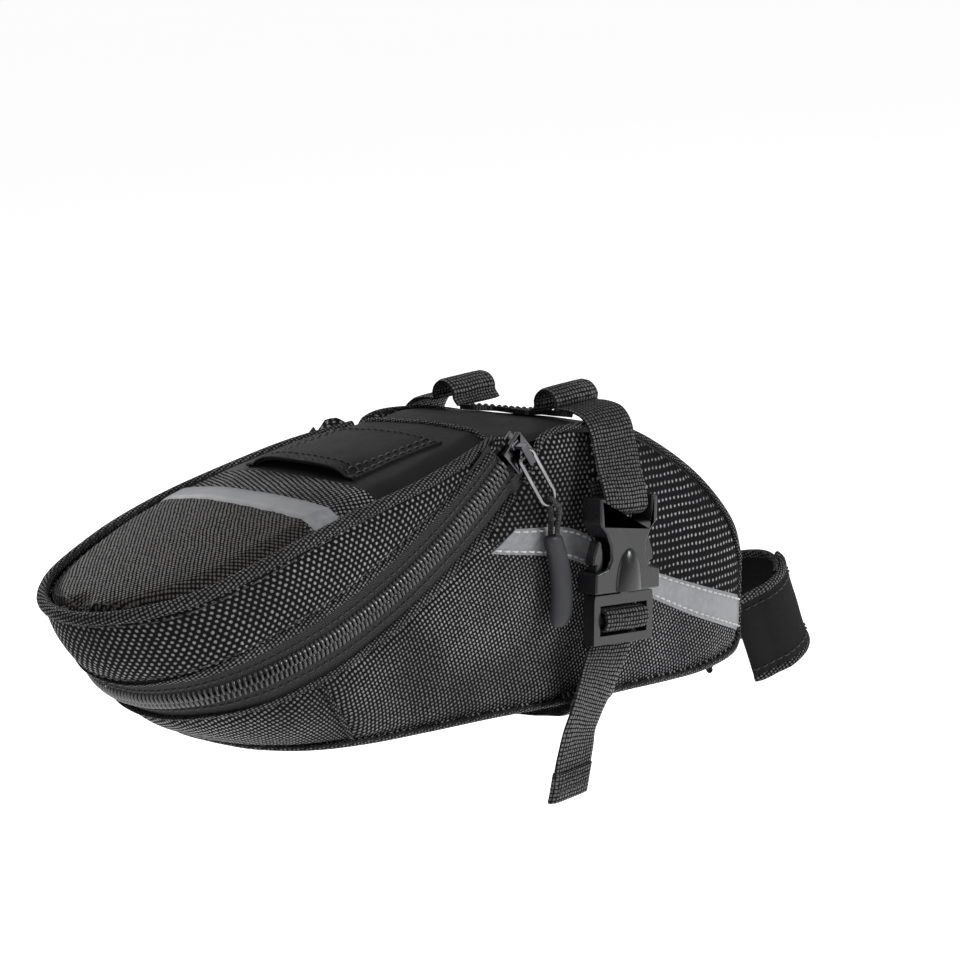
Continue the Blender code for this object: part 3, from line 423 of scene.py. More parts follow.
def tube(name, line, wide, high, up, made, sides=10):
    rings = tube_rings(line, wide, high, up, sides)
    run = lengths(np.asarray(line, float))
    around = 2 * math.pi * max(wide, high) * np.arange(sides) / sides
    uvs = [(s, a) for s in run for a in around]
    return finish_mesh(name, np.concatenate(rings), rings_data(rings), uvs, [made])


def stitches(name, line, up, made, pitch=3.4, length=2.4, radius=0.24, lift=0.12):
    """A row of thread stitches along a line, each dipping into the cloth at both ends."""
    line = np.asarray(line, float)
    run = lengths(line)
    up = np.broadcast_to(np.asarray(up, float), line.shape)
    verts, faces = [], []
    sag = np.array([-0.9, 0.3, 1.0, 0.3, -0.9])
    size = np.array([0.5, 1.0, 1.0, 1.0, 0.5])
    for start in np.arange(0.4, run[-1] - length, pitch):
        where = np.linspace(start, start + length, 5)
        p = sampled(where, run, line)
        u = unit(sampled(where, run, up))
        p = p + (lift + radius * sag)[:, None] * u
        rings = tube_rings(p, radius * 1.25, radius, u, 6, size)
        faces += rings_data(rings, False, len(verts))
        verts += [v for ring in rings for v in ring]
    return finish_mesh(name, verts, faces, None, [made])


def put(item, body, slot, *replaced):
    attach(item, body)
    if replaced:
        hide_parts(*replaced)
    return item


def mirror_piece(item, name, body, slot, *replaced):
    mesh = item.data.copy()
    mesh.name = name
    mesh.transform(Matrix.Diagonal((1.0, -1.0, 1.0, 1.0)))
    mesh.flip_normals()
    twin = bpy.data.objects.new(name, mesh)
    for old in item.modifiers:
        new = twin.modifiers.new(old.name, old.type)
        for key in ("width", "segments", "limit_method", "angle_limit", "harden_normals", "levels",
                    "render_levels"):
            if hasattr(old, key):
                setattr(new, key, getattr(old, key))
    bpy.context.scene.collection.objects.link(twin)
    return put(twin, body, slot, *replaced)


def refined(name, node, made, bevel=0.0, levels=0):
    """A copy of a CAD node's mesh with clean flat faces and rounded edges."""
    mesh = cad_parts[node].data.copy()
    mesh.name = name
    work = bmesh.new()
    work.from_mesh(mesh)
    bmesh.ops.remove_doubles(work, verts=work.verts, dist=0.00001)
    if bevel:
        bmesh.ops.dissolve_limit(work, angle_limit=math.radians(1), verts=work.verts, edges=work.edges)
    bmesh.ops.recalc_face_normals(work, faces=work.faces)
    work.to_mesh(mesh)
    work.free()
    mesh.materials.clear()
    mesh.materials.append(made)
    mesh.shade_smooth()
    mesh.set_sharp_from_angle(angle=math.radians(40))
    item = bpy.data.objects.new(name, mesh)
    bpy.context.scene.collection.objects.link(item)
    if bevel:
        edge = item.modifiers.new("edges", "BEVEL")
        edge.width = bevel * MM
        edge.segments = 3
        edge.limit_method = "ANGLE"
        edge.angle_limit = TIGHT
        edge.harden_normals = True
    if levels:
        rounder = item.modifiers.new("round", "SUBSURF")
        rounder.levels = levels
        rounder.render_levels = levels
    return item


# ------------------------------------------------------------------ materials
class Nodes:
    """A small helper that adds nodes to one material and links them."""

    def __init__(self, name, colour, roughness, metallic=0.0, sheen=0.0, specular=0.5):
        self.material = bpy.data.materials.new(name)
        self.material.use_nodes = True
        self.tree = self.material.node_tree
        self.shader = self.tree.nodes["Principled BSDF"]
        self.shader.inputs["Base Color"].default_value = (*colour, 1.0)
        self.shader.inputs["Roughness"].default_value = roughness
        self.shader.inputs["Metallic"].default_value = metallic
        self.shader.inputs["Sheen Weight"].default_value = sheen
        self.shader.inputs["Specular IOR Level"].default_value = specular

    def add(self, kind, settings=(), inputs=()):
        node = self.tree.nodes.new(kind)
        for key, value in dict(settings).items():
            setattr(node, key, value)
        for key, value in dict(inputs).items():
            if isinstance(value, bpy.types.NodeSocket):
                self.tree.links.new(value, node.inputs[key])
            else:
                node.inputs[key].default_value = value
        return node

    def maths(self, operation, a, b=0.0):
        return self.add("ShaderNodeMath", {"operation": operation}, {0: a, 1: b}).outputs[0]

    def vector(self, operation, a, b=(0.0, 0.0, 0.0)):
        node = self.add("ShaderNodeVectorMath", {"operation": operation}, {0: a, 1: b})
        return node.outputs["Value" if operation == "LENGTH" else "Vector"]

    def weave_point(self, angle=0.0):
        place = self.add("ShaderNodeUVMap", {"uv_map": "weave"}).outputs[0]
        turn = self.add("ShaderNodeMapping", {}, {"Vector": place, "Rotation": (0.0, 0.0, angle)})
        return turn.outputs[0]

    def solid_point(self):
        return self.add("ShaderNodeTexCoord").outputs["Object"]

    def noise(self, point, scale, detail=3.0):
        return self.add("ShaderNodeTexNoise", {}, {"Vector": point, "Scale": scale,
                                                   "Detail": detail}).outputs[0]

    def ramp(self, value, low, high, to_low=0.0, to_high=1.0):
        node = self.add("ShaderNodeMapRange", {"interpolation_type": "SMOOTHSTEP"},
                        {0: value, 1: low, 2: high, 3: to_low, 4: to_high})
        return node.outputs[0]

    def mix(self, share, a, b):
        node = self.add("ShaderNodeMix", {"data_type": "RGBA"}, {0: share})
        for socket, value in ((6, a), (7, b)):
            if isinstance(value, bpy.types.NodeSocket):
                self.tree.links.new(value, node.inputs[socket])
            else:
                node.inputs[socket].default_value = (*value, 1.0)
        return node.outputs[2]

    def colour(self, socket):
        self.tree.links.new(socket, self.shader.inputs["Base Color"])

    def rough(self, socket):
        self.tree.links.new(socket, self.shader.inputs["Roughness"])

    def bump(self, height, strength, distance):
        node = self.add("ShaderNodeBump", {},
                        {"Height": height, "Strength": strength, "Distance": distance * MM})
        self.tree.links.new(node.outputs[0], self.shader.inputs["Normal"])


def lattice(m, point, pitch, offset, square):
    """Distance in mm from the nearest point of a lattice."""
    scaled = m.vector("ADD", m.vector("DIVIDE", point, (*pitch, 1.0)), (*offset, 0.0))
    cell = m.vector("SUBTRACT", m.vector("FRACTION", scaled), (0.5, 0.5, 0.0))
    local = m.vector("MULTIPLY", cell, (*pitch, 0.0))
    if not square:
        return m.vector("LENGTH", local)
    parts = m.add("ShaderNodeSeparateXYZ", {}, {0: m.vector("ABSOLUTE", local)})
    return m.maths("MAXIMUM", parts.outputs[0], parts.outputs[1])


def woven(name, base, thread, pitch, radius, angle=0.0, stagger=True, square=False, depth=0.25, uneven=0.7):
    """Cloth with raised yarn crossings drawn as grey dots on a dark ground; the dots' grey is partly the
    yarn's own colour and partly painted sheen of the raised yarns.
    """
    m = Nodes(name, base, 0.85)
    point = m.weave_point(math.radians(angle))
    wander = m.add("ShaderNodeTexNoise", {}, {"Vector": point, "Scale": 0.12, "Detail": 1.0}).outputs["Color"]
    point = m.vector("ADD", point, m.vector("MULTIPLY", wander, (0.9, 0.9, 0.0)))
    near = lattice(m, point, pitch, (0.0, 0.0), square)
    if stagger:
        near = m.maths("MINIMUM", near, lattice(m, point, pitch, (0.5, 0.5), square))
    near = m.maths("ADD", near,
                   m.ramp(m.noise(point, 0.9, 2.0), 0.25, 0.75, -0.22 * radius, 0.22 * radius))
    dot = m.ramp(near, radius * 0.55, radius * 1.25, 1.0, 0.0)
    patch = m.ramp(m.noise(m.solid_point(), 38.0, 2.0), 0.3, 0.72, 1.0 - uneven, 1.0)
    fleck = m.ramp(m.noise(point, 2.6, 2.0), 0.3, 0.7, 0.55, 1.0)
    # the thread colour mixed in on the dots is partly painted sheen: it stands for light caught by the raised
    # yarns
    m.colour(m.mix(m.maths("MULTIPLY", dot, m.maths("MULTIPLY", patch, fleck)), base, thread))
    fibre = m.noise(point, 9.0, 2.0)
    m.bump(m.maths("ADD", dot, m.maths("MULTIPLY", fibre, 0.25)), 0.8, depth)
    m.rough(m.ramp(dot, 0.0, 1.0, 0.85, 0.45))
    m.tree.links.new(m.ramp(dot, 0.2, 1.0, 0.04, 0.5), m.shader.inputs["Specular IOR Level"])
    return m.material


def herringbone(name, base, thread, pitch=0.7, band=2.4):
    m = Nodes(name, base, 0.75, specular=0.12)
    point = m.weave_point()
    parts = m.add("ShaderNodeSeparateXYZ", {}, {0: point})
    saw = m.maths("PINGPONG", parts.outputs[1], band / 2)
    line = m.maths("FRACT", m.maths("DIVIDE", m.maths("ADD", parts.outputs[0], saw), pitch))
    line = m.ramp(m.maths("ABSOLUTE", m.maths("SUBTRACT", line, 0.5)), 0.1, 0.4, 1.0, 0.0)
    grain = m.ramp(m.noise(point, 3.5, 3.0), 0.35, 0.65, 0.35, 1.0)
    m.colour(m.mix(m.maths("MULTIPLY", line, grain), base, thread))
    m.bump(line, 0.6, 0.12)
    return m.material


def grained(name, colour, lighter, roughness, scale=900.0, depth=0.05, metallic=0.0, sheen=0.0, specular=0.5):
    """Moulded, coated or plated surface: fine grain, and a slow drift of colour and gloss."""
    m = Nodes(name, colour, roughness, metallic, sheen, specular)
    place = m.solid_point()
    drift = m.ramp(m.noise(place, 45.0, 3.0), 0.3, 0.7)
    m.colour(m.mix(drift, colour, lighter))
    grain = m.noise(place, scale, 3.0)
    m.rough(m.ramp(m.maths("ADD", m.maths("MULTIPLY", grain, 0.5), m.maths("MULTIPLY", drift, 0.5)), 0.3, 0.7,
                   roughness * 0.85, min(1.0, roughness * 1.2)))
    m.bump(grain, 0.5, depth)
    return m.material


def reflective(name):
    """Grey reflective tape: fine glass-bead grain in faint cross lines."""
    m = Nodes(name, (0.36, 0.365, 0.38), 0.42, specular=0.3)
    point = m.weave_point()
    worn = m.ramp(m.noise(point, 0.35, 4.0), 0.35, 0.7)
    m.colour(m.mix(worn, (0.15, 0.152, 0.16), (0.19, 0.193, 0.202)))
    beads = m.maths("ADD", lattice(m, point, (0.5, 0.5), (0.0, 0.0), False), m.noise(point, 2.0, 3.0))
    m.rough(m.ramp(worn, 0.0, 1.0, 0.36, 0.5))
    m.bump(beads, 0.35, 0.06)
    return m.material


def make_materials():
    black = (0.006, 0.006, 0.0065)
    webbing = dict(stagger=False, square=True, depth=0.3, uneven=0.6)
    return {
        "dots": woven("cloth_dots", black, (0.26, 0.26, 0.265), (2.15, 2.8), 0.50, 8.0),
        # partly painted light: this cloth's brighter dot colour stands for the light falling on the front of
        # the side panels; its sparser, unstaggered weave is the cloth's own
        "dots_large_painted_lit": woven("cloth_dots_large", black, (0.38, 0.38, 0.39), (2.2, 2.55), 0.52, 6.0, False),
        "dots_low": woven("cloth_dots_low", black, (0.27, 0.27, 0.275), (1.75, 1.9), 0.42, 24.0),
        "fine": woven("cloth_fine", (0.005, 0.0045, 0.0042), (0.034, 0.030, 0.028), (1.5, 1.5), 0.42,
                      depth=0.15, uneven=0.35),
        "binding": woven("binding_weave", black, (0.13, 0.13, 0.134), (1.5, 1.7), 0.42, 30.0, depth=0.3),
        "webbing": woven("webbing_weave", (0.006, 0.006, 0.0065), (0.12, 0.12, 0.123), (1.15, 1.2), 0.42,
                         **webbing),
        "tape": herringbone("zipper_tape_weave", (0.010, 0.010, 0.0105), (0.052, 0.052, 0.054)),
        "smooth": grained("coated_cloth", (0.005, 0.005, 0.0052), (0.009, 0.009, 0.0094), 0.5, 1500.0,
                          0.05, specular=0.12),
        "hook": grained("hook_and_loop_pile", (0.006, 0.006, 0.0065), (0.012, 0.012, 0.013), 0.85, 2600.0,
                        0.5, specular=0.1),
        "lining": woven("lining_weave", (0.05, 0.05, 0.053), (0.09, 0.09, 0.095), (0.8, 0.8), 0.25,
                        depth=0.08),
        "board": grained("board_sheet", (0.17, 0.17, 0.17), (0.23, 0.23, 0.23), 0.6, 700.0, 0.05),
        "tape_grey": reflective("reflective_tape"),
        "nylon": grained("zipper_nylon", (0.020, 0.020, 0.021), (0.042, 0.042, 0.045), 0.3, 900.0, 0.03,
                         specular=0.6),
        "metal": grained("gunmetal", (0.055, 0.055, 0.058), (0.12, 0.12, 0.125), 0.2, 500.0, 0.02, 1.0),
        "wire": grained("bail_plating", (0.16, 0.16, 0.165), (0.34, 0.34, 0.34), 0.18, 500.0, 0.02, 1.0),
        "rubber": grained("grip_rubber", (0.015, 0.015, 0.0165), (0.021, 0.0215, 0.0235), 0.48, 1200.0,
                          0.04, specular=0.3),
        "acetal": grained("buckle_acetal", (0.008, 0.0083, 0.009), (0.011, 0.0114, 0.0125), 0.26, 1100.0,
                          0.012, specular=0.42),
        "cord": woven("cord_braid", (0.012, 0.012, 0.012), (0.12, 0.12, 0.12), (0.7, 0.55), 0.2, 35.0),
        "thread": grained("black_thread", (0.014, 0.014, 0.015), (0.045, 0.045, 0.047), 0.55, 3000.0, 0.1,
                          specular=0.3),
        "thread_grey": grained("grey_thread", (0.30, 0.30, 0.31), (0.46, 0.46, 0.47), 0.6, 3000.0, 0.1,
                               sheen=0.3),
        "pad": grained("pad_cloth", (0.012, 0.012, 0.013), (0.018, 0.018, 0.019), 0.8, 1800.0, 0.2,
                       specular=0.15),
    }


M = make_materials()


# ------------------------------------------------------------------ cloth panels
def puffed(grid, outward, sides, drop=1.1, width=5.0, seed=1.0, amount=0.55):
    """Sink the grid towards its seams and give its face the unevenness of padded cloth."""
    n = normals_of(grid, outward)
    near = border_distance(grid, sides)
    lift = drop * (ease(near / width) - 1.0) + rumple(grid, 24.0, amount, seed) * ease(near / 9.0)
    lift = lift + rumple(grid, 9.0, 0.3 * amount, seed + 3.1) * ease(near / 6.0)
    return grid + lift * n


def strap_dent(grid, outward, depth):
    """The dent where the strap draws the side in."""
    x = grid[..., 0] - (BUCKLE_AT.x + (grid[..., 2] - BUCKLE_AT.z) * math.tan(BUCKLE_LEAN))
    low = ease((-20.0 - grid[..., 2]) / 50.0)
    dent = depth * np.exp(-(x / 9.0) ** 2) * (0.35 + 0.65 * low)
    fold = 0.5 * np.exp(-((x + 17.0) / 4.0) ** 2) * low + 0.4 * np.exp(-((x - 15.0) / 4.5) ** 2) * low
    return grid + (fold - dent)[..., None] * normals_of(grid, outward)


def arc_uv(grid):
    """Weave coordinates in mm: along the rows' middle line, and down each row."""
    middle = grid[:, grid.shape[1] // 2]
    run = lengths(middle)
    columns = np.concatenate([np.zeros((grid.shape[0], 1)),
                              np.cumsum(np.linalg.norm(np.diff(grid, axis=1), axis=2), axis=1)], axis=1)
    columns = columns - columns[:, grid.shape[1] // 2][:, None]
    return np.stack([run[:, None] + 0 * columns, columns], axis=2)


def flat_uv(grid, first, second):
    return np.stack([grid[..., first], grid[..., second]], axis=2)


SKINS = {}


def make_body(wall):
    side = wall.grid(wall.corner, wall.dart, 150, 56, 0.0, 1.0)
    out = -into_bag(side)
    side = strap_dent(puffed(side, out, "lres", seed=2.0), out, 1.0)
    upper = np.array([(-170, -20), (-46, -30.5), (-20, -38.3), (8.4, -56.1), (49.5, -77.5), (80, -93)], float)

    def below_tape(p):
        return p[2] < np.interp(p[0], upper[:, 0], upper[:, 1])

    def zone(p):
        # zone 2, the front above the tape, takes the cloth whose brighter dots are painted light on the front
        return 1 if below_tape(p) else (2 if p[0] > -8 else 0)

    SKINS["side"] = side
    kinds = [M["dots"], M["dots_low"], M["dots_large_painted_lit"]]
    panel = sheet_mesh("side_panel_right", side, flat_uv(side, 0, 2), PANEL, out, kinds, zone)
    put(panel, "bag", "body_cloth", "right_side_panel")
    mirror_piece(panel, "side_panel_left", "bag", "body_cloth", "left_side_panel")

    rear = whole(wall.grid(wall.dart, wall.end, 60, 36))
    rear = puffed(rear, -into_bag(rear), "lres", 1.2, 5.0, 7.0, 0.7)
    put(sheet_mesh("rear_panel_cloth", rear, arc_uv(rear), PANEL, -into_bag(rear), [M["dots_low"]]), "bag",
        "body_cloth",
        "rear_panel")

    nose = whole(wall.grid(wall.corner, 0.0, 12, 24))
    nose[..., 0] += 1.2 * (1 - (nose[..., 1] / 20.0) ** 2)
    nose = puffed(nose, (1, 0, 0), "lres", 0.9, 4.0, 9.0, 0.4)
    nose[..., 0] = np.minimum(nose[..., 0], 72.2)
    put(sheet_mesh("nose_panel", nose, flat_uv(nose, 1, 2), PANEL, (1, 0, 0), [M["dots_low"]]), "bag",
        "body_cloth",
        "front_panel")

    belly = belly_grid(wall, 130, 40)
    belly = puffed(belly, (0, 0, -1), "lrse", 0.9, 4.5, 11.0, 0.6)
    put(sheet_mesh("belly_panel", belly, flat_uv(belly, 0, 1), PANEL, (0, 0, -1), [M["dots"]]), "bag",
        "body_cloth",
        "bottom_panel")

    top = body_top_grid(90, 48)
    top = puffed(top, (0, 0, 1), "lrse", 0.8, 4.0, 13.0, 0.5)
    SKINS["top"] = top
    put(sheet_mesh("body_top_panel", top, flat_uv(top, 1, 0), PANEL, (0, 0, 1), [M["smooth"]]), "bag",
        "smooth_cloth",
        "top_panel")


def edge_tube(name, line, wide, high, body, sides=10, lift=0.0):
    """Bound edging along a seam, facing out of the bag."""
    up = -into_bag(line)
    return put(tube(name, line + lift * up, wide, high, up, M["binding"], sides), body, "binding")


def make_body_seams(wall):
    """Bound seams round the side panels, and the darts at their rear ends."""
    end = wall.grid(wall.corner, wall.dart, 150, 2)
    bottom = spaced(wall.grid(wall.corner, wall.end, 240, 2)[:, 1], 150)
    edge_tube("seam_underside", whole(bottom), 1.3, 0.95, "bag")
    split = next(i for i, p in enumerate(end[:, 0]) if p[0] < FOLD_X + 1)
    crest = end[:split, 0]
    seam = edge_tube("seam_top_right", spaced(crest, 90), 1.15, 0.9, "bag")
    mirror_piece(seam, "seam_top_left", "bag", "binding")
    zip_edge = spaced(np.vstack([end[split + 2:, 0], wall.grid(wall.dart, wall.end, 60, 2)[:, 0]]), 120)
    edge_tube("seam_zip_body", whole(zip_edge), 1.3, 0.55, "bag", lift=0.15)
    dart = puffed(wall.grid(wall.dart - 0.5, wall.dart + 0.5, 3, 36), (0, -1, 0), "lr", 0.0, 1.0, 1.0, 0.0)[1]
    seam = edge_tube("seam_dart_right", dart[1:-1], 0.8, 0.5, "bag", lift=-0.9)
    mirror_piece(seam, "seam_dart_left", "bag", "binding")
    corner = wall.grid(wall.corner, wall.corner + 1, 2, 24)[0]
    seam = edge_tube("seam_nose_right", corner, 1.0, 0.9, "bag", lift=-0.2)
    mirror_piece(seam, "seam_nose_left", "bag", "binding")


def make_lid():
    top = lid_top_grid(1.6, 90, 64)
    top = puffed(top, (0, 0, 1), "lre", 2.4, 8.0, 15.0, 0.45)
    top[..., 2] += 1.5
    SKINS["lid"] = top

    def zone(p):
        return 0 if p[0] < -113.5 else (1 if p[0] < -90.0 else 2)

    lid = sheet_mesh("lid_top_cloth", top, flat_uv(top, 1, 0), PANEL, (0, 0, 1), [M["fine"], M["dots_low"],
                                                                                  M["smooth"]],
                     zone)
    put(lid, "lid", "lid_cloth", "lid_top_panel")
    gusset = gusset_grid(1.2, LID_PANEL_AT, 110, 34)
    gusset = puffed(gusset, -into_bag(gusset), "lr", 0.9, 4.5, 17.0, 0.6)
    SKINS["gusset"] = gusset
    put(sheet_mesh("lid_gusset_cloth", gusset, arc_uv(gusset), PANEL, -into_bag(gusset), [M["dots"]]),
        "lid", "lid_cloth",
        "lid_gusset")
    edge = spaced(lid_edge_line(), 110)
    edge[0] += 0.3 * (edge[1] - edge[0])
    edge_tube("lid_edge_piping", whole(edge), 1.9, 1.55, "lid", sides=14, lift=-0.2)
    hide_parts("lid_piping")
    low = np.array([row[-1] for row in gusset])[5:-5]
    edge_tube("seam_zip_lid", low, 1.3, 0.55, "lid", lift=0.9)
    front = top[0]
    edge_tube("seam_lid_front", front[2:-2], 1.1, 0.8, "lid", lift=0.1)


class Skin:
    """A grid as a surface to drape onto, giving points and normals on it."""

    def __init__(self, grid):
        rows, columns = grid.shape[:2]
        faces = []
        for r in range(rows - 1):
            for c in range(columns - 1):
                a = r * columns + c
                faces.append((a, a + 1, a + columns + 1, a + columns))
        self.tree = BVHTree.FromPolygons([Vector(p) for p in grid.reshape(-1, 3)], faces)

    def drop(self, points, direction, lift=0.0):
        way = Vector(direction)
        landed, ups = [], []
        for p in np.asarray(points, float).reshape(-1, 3):
            hit, normal, _, _ = self.tree.ray_cast(Vector(p) - 200 * way, way)
            if hit is None:
                hit, normal, _, _ = self.tree.find_nearest(Vector(p))
            if normal.dot(way) > 0:
                normal = -normal
            landed.append(np.array(hit + float(lift) * normal))
            ups.append(np.array(normal))
        shape = np.asarray(points).shape
        return np.array(landed).reshape(shape), np.array(ups).reshape(shape)


def taped(name, skin, rows, direction, body, replaced, ragged=0.0):
    """Reflective tape draped on a skin between two edges, thinning to nothing at both."""
    rows = np.asarray(rows, float)
    for r in range(len(rows)):
        wave = ragged * noise.noise(Vector((r * 0.9, 1.7, 0.0)))
        rows[r, -1] += wave * unit(rows[r, -1] - rows[r, 0])
    grid = np.stack([rows[:, 0] + s * (rows[:, -1] - rows[:, 0]) for s in np.linspace(0, 1, 9)], axis=1)
    low, _ = skin.drop(grid, direction, 0.05)
    out = -np.asarray(direction, float)
    high = low + (TAPE_THICK * (1 - np.linspace(-1, 1, 9) ** 8))[None, :, None] * normals_of(low, out)
    tape = sheet_mesh(name, high, arc_uv(high), TAPE_THICK + 0.3, out, [M["tape_grey"]])
    return high, put(tape, body, "reflective_tape", replaced)


def make_reflectors():
    skin = Skin(SKINS["side"])
    upper = smooth([(-43.5, 0, -28.5), (-18.4, 0, -34.2), (9.8, 0, -51.6), (41, 0, -65.4), (69.6, 0, -76.6)])
    lower = smooth([(-54, 0, -33.5), (-21.5, 0, -42.5), (7.0, 0, -58.6), (38.6, 0, -75.0), (68.0, 0, -87.8)])
    rows = np.stack([spaced(upper, 70), spaced(lower, 70)], axis=1)
    grid, tape = taped("side_tape_right", skin, rows, (0, 1, 0), "bag", "right_side_reflector")
    mirror_piece(tape, "side_tape_left", "bag", "reflective_tape", "left_side_reflector")
    for name, column in (("upper", 1), ("lower", 7)):
        line = grid[:, column]
        row = stitches(f"tape_stitch_{name}_right", line, (0, -1, 0), M["thread_grey"], 3.3, 2.3, 0.26)
        put(row, "bag", "reflective_tape")
        mirror_piece(row, f"tape_stitch_{name}_left", "bag", "reflective_tape")
    skin = Skin(SKINS["lid"])
    across = np.linspace(-36.9, 36.9, 60)
    rows = np.stack([np.stack([np.full(60, x), across, 0 * across], axis=1) for x in LID_TAPE_X], axis=1)
    taped("lid_tape", skin, rows, (0, 0, -1), "lid", "lid_reflector", ragged=0.5)


def make_light_loop():
    """The sewn strip for a clip-on tail light: flat at its ends and front, raised at its rear edge."""
    skin = Skin(SKINS["lid"])
    across = np.linspace(-23.0, 23.0, 48)
    grid = []
    for x in np.linspace(-54.0, -88.0, 30):
        back = ease((-x - 70.0) / 18.0)
        middle = np.clip(1 - (across / 20.0) ** 6, 0.0, 1.0)
        lift = 0.7 + middle * (0.5 + 1.9 * back)
        line = np.stack([np.full(48, x), across, 0 * across], axis=1)
        landed, ups = skin.drop(line, (0, 0, -1))
        grid.append(landed + lift[:, None] * ups)
    grid = np.array(grid)
    loop = sheet_mesh("light_loop_cloth", grid, flat_uv(grid, 1, 0), 0.9, (0, 0, 1), [M["smooth"]])
    put(loop, "lid", "smooth_cloth", "light_loop")
    rows = {"rear": grid[-2], "rear_inner": grid[-5], "right": grid[1:-1, 2], "left": grid[1:-1, -3],
            "right_inner": grid[1:-1, 5], "left_inner": grid[1:-1, -6], "front": grid[1]}
    for name, line in rows.items():
        put(stitches(f"loop_stitch_{name}", line, (0, 0, 1), M["thread"], 2.8, 2.1, 0.22), "lid",
            "smooth_cloth")
    put(tube("light_loop_hem", grid[-1], 0.8, 0.6, (0, 0, 1), M["smooth"], 8), "lid", "smooth_cloth")


def make_top_stitching():
    """Topstitching inside the lid's piping and along both edges of the gusset."""
    edge = whole(spaced(lid_edge_line(), 200, 0.04))
    inwards = unit((LID_CENTRE - edge) * np.array([1.0, 1.0, 0.0]))
    line, ups = Skin(SKINS["lid"]).drop(edge + 4.2 * inwards, (0, 0, -1))
    put(stitches("lid_edge_stitch", line, ups, M["thread"], 3.2, 2.3, 0.22), "lid", "lid_cloth")
    for name, column in (("lid_zip", -5), ("lid_top_seam", 4)):
        line = SKINS["gusset"][3:-3, column]
        put(stitches(f"{name}_stitch", line, -into_bag(line), M["thread"], 3.2, 2.3, 0.22), "lid",
            "lid_cloth")


# ------------------------------------------------------------------ zipper
def zip_ribbon(name, first, near, far, body, replaced):
    """A zipper tape between two distances from the middle line, sinking a little outwards."""
    points, _, across, out = zipper_frames(first, 90)
    share = np.linspace(0.0, 1.0, 9)[None, :, None]
    grid = points[:, None, :] + (near + share * (far - near)) * across[:, None, :]
    sink = -0.15 - 0.5 * share ** 2
    grid = whole(grid + sink * out[:, None, :])
    outs = whole(np.repeat(out[:, None, :], 9, axis=1))
    put(sheet_mesh(name, grid, arc_uv(grid), 0.45, outs, [M["tape"]]), body, "zipper_tape", replaced)
    return grid, outs


def zip_teeth(name, sign, body, replaced):
    """A row of moulded teeth that hook over the zipper's middle line, sewn down on the tape."""
    points, along, across, out = zipper_frames(ZIP_COIL, 400)
    points, along, across, out = whole(points), whole(along), whole(across), whole(out)
    half = len(points) // 2 + 1
    along[half:] *= -1.0
    run = lengths(points)
    verts, faces = [], []
    pitch = 1.5
    start = pitch / 2 if sign > 0 else 0.0
    reach = np.array([-0.45, 0.1, 0.9, 1.9, 2.7, 3.1])
    high = np.array([0.35, 0.95, 1.15, 1.0, 0.45, -0.3])
    wide = np.array([0.36, 0.50, 0.46, 0.44, 0.42, 0.35])
    for s in np.arange(start + 0.5, run[-1] - 0.5, pitch):
        p, t, a, n = [np.array([np.interp(s, run, part[:, k]) for k in range(3)]) for part in
                      (points, along, across, out)]
        a, n = sign * unit(a), unit(n)
        line = np.array([p + u * a + h * n for u, h in zip(reach, high)])
        rings = []
        for q, w in zip(line, wide):
            ring = []
            for step in range(6):
                angle = 2 * math.pi * step / 6
                ring.append(q + w * math.cos(angle) * t + 0.42 * math.sin(angle) * n)
            rings.append(ring)
        faces += rings_data(rings, False, len(verts))
        verts += [v for ring in rings for v in ring]
    put(finish_mesh(name, verts, faces, None, [M["nylon"]]), body, "zipper_coil", *replaced)


def make_zipper():
    for side, sign, edge in (("lid", -1.0, LID_PANEL_AT), ("body", 1.0, BODY_PANEL_AT)):
        body = "lid" if side == "lid" else "bag"
        first = ZIP_COIL if sign < 0 else ZIP_TOP + math.radians(0.9)
        grid, outs = zip_ribbon(f"zip_{side}_tape", first, sign * 0.5, sign * (edge + 0.6), body,
                                f"zipper_{side}_tape")
        zip_teeth(f"zip_{side}_teeth", sign, body, [f"zipper_{side}_coil"])
        line = grid[:, 4] + 0.15 * outs[:, 4]
        put(stitches(f"zip_{side}_stitch", line, outs[:, 4], M["thread"], 2.4, 1.8, 0.2), body, "zipper_tape")


def side_frame(origin, upward):
    outward = Vector((0.0, -1.0, 0.0))
    upward = Vector(upward).normalized()
    along = upward.cross(outward).normalized()
    return Matrix.Translation(origin) @ Matrix((along, upward, outward)).transposed().to_4x4()


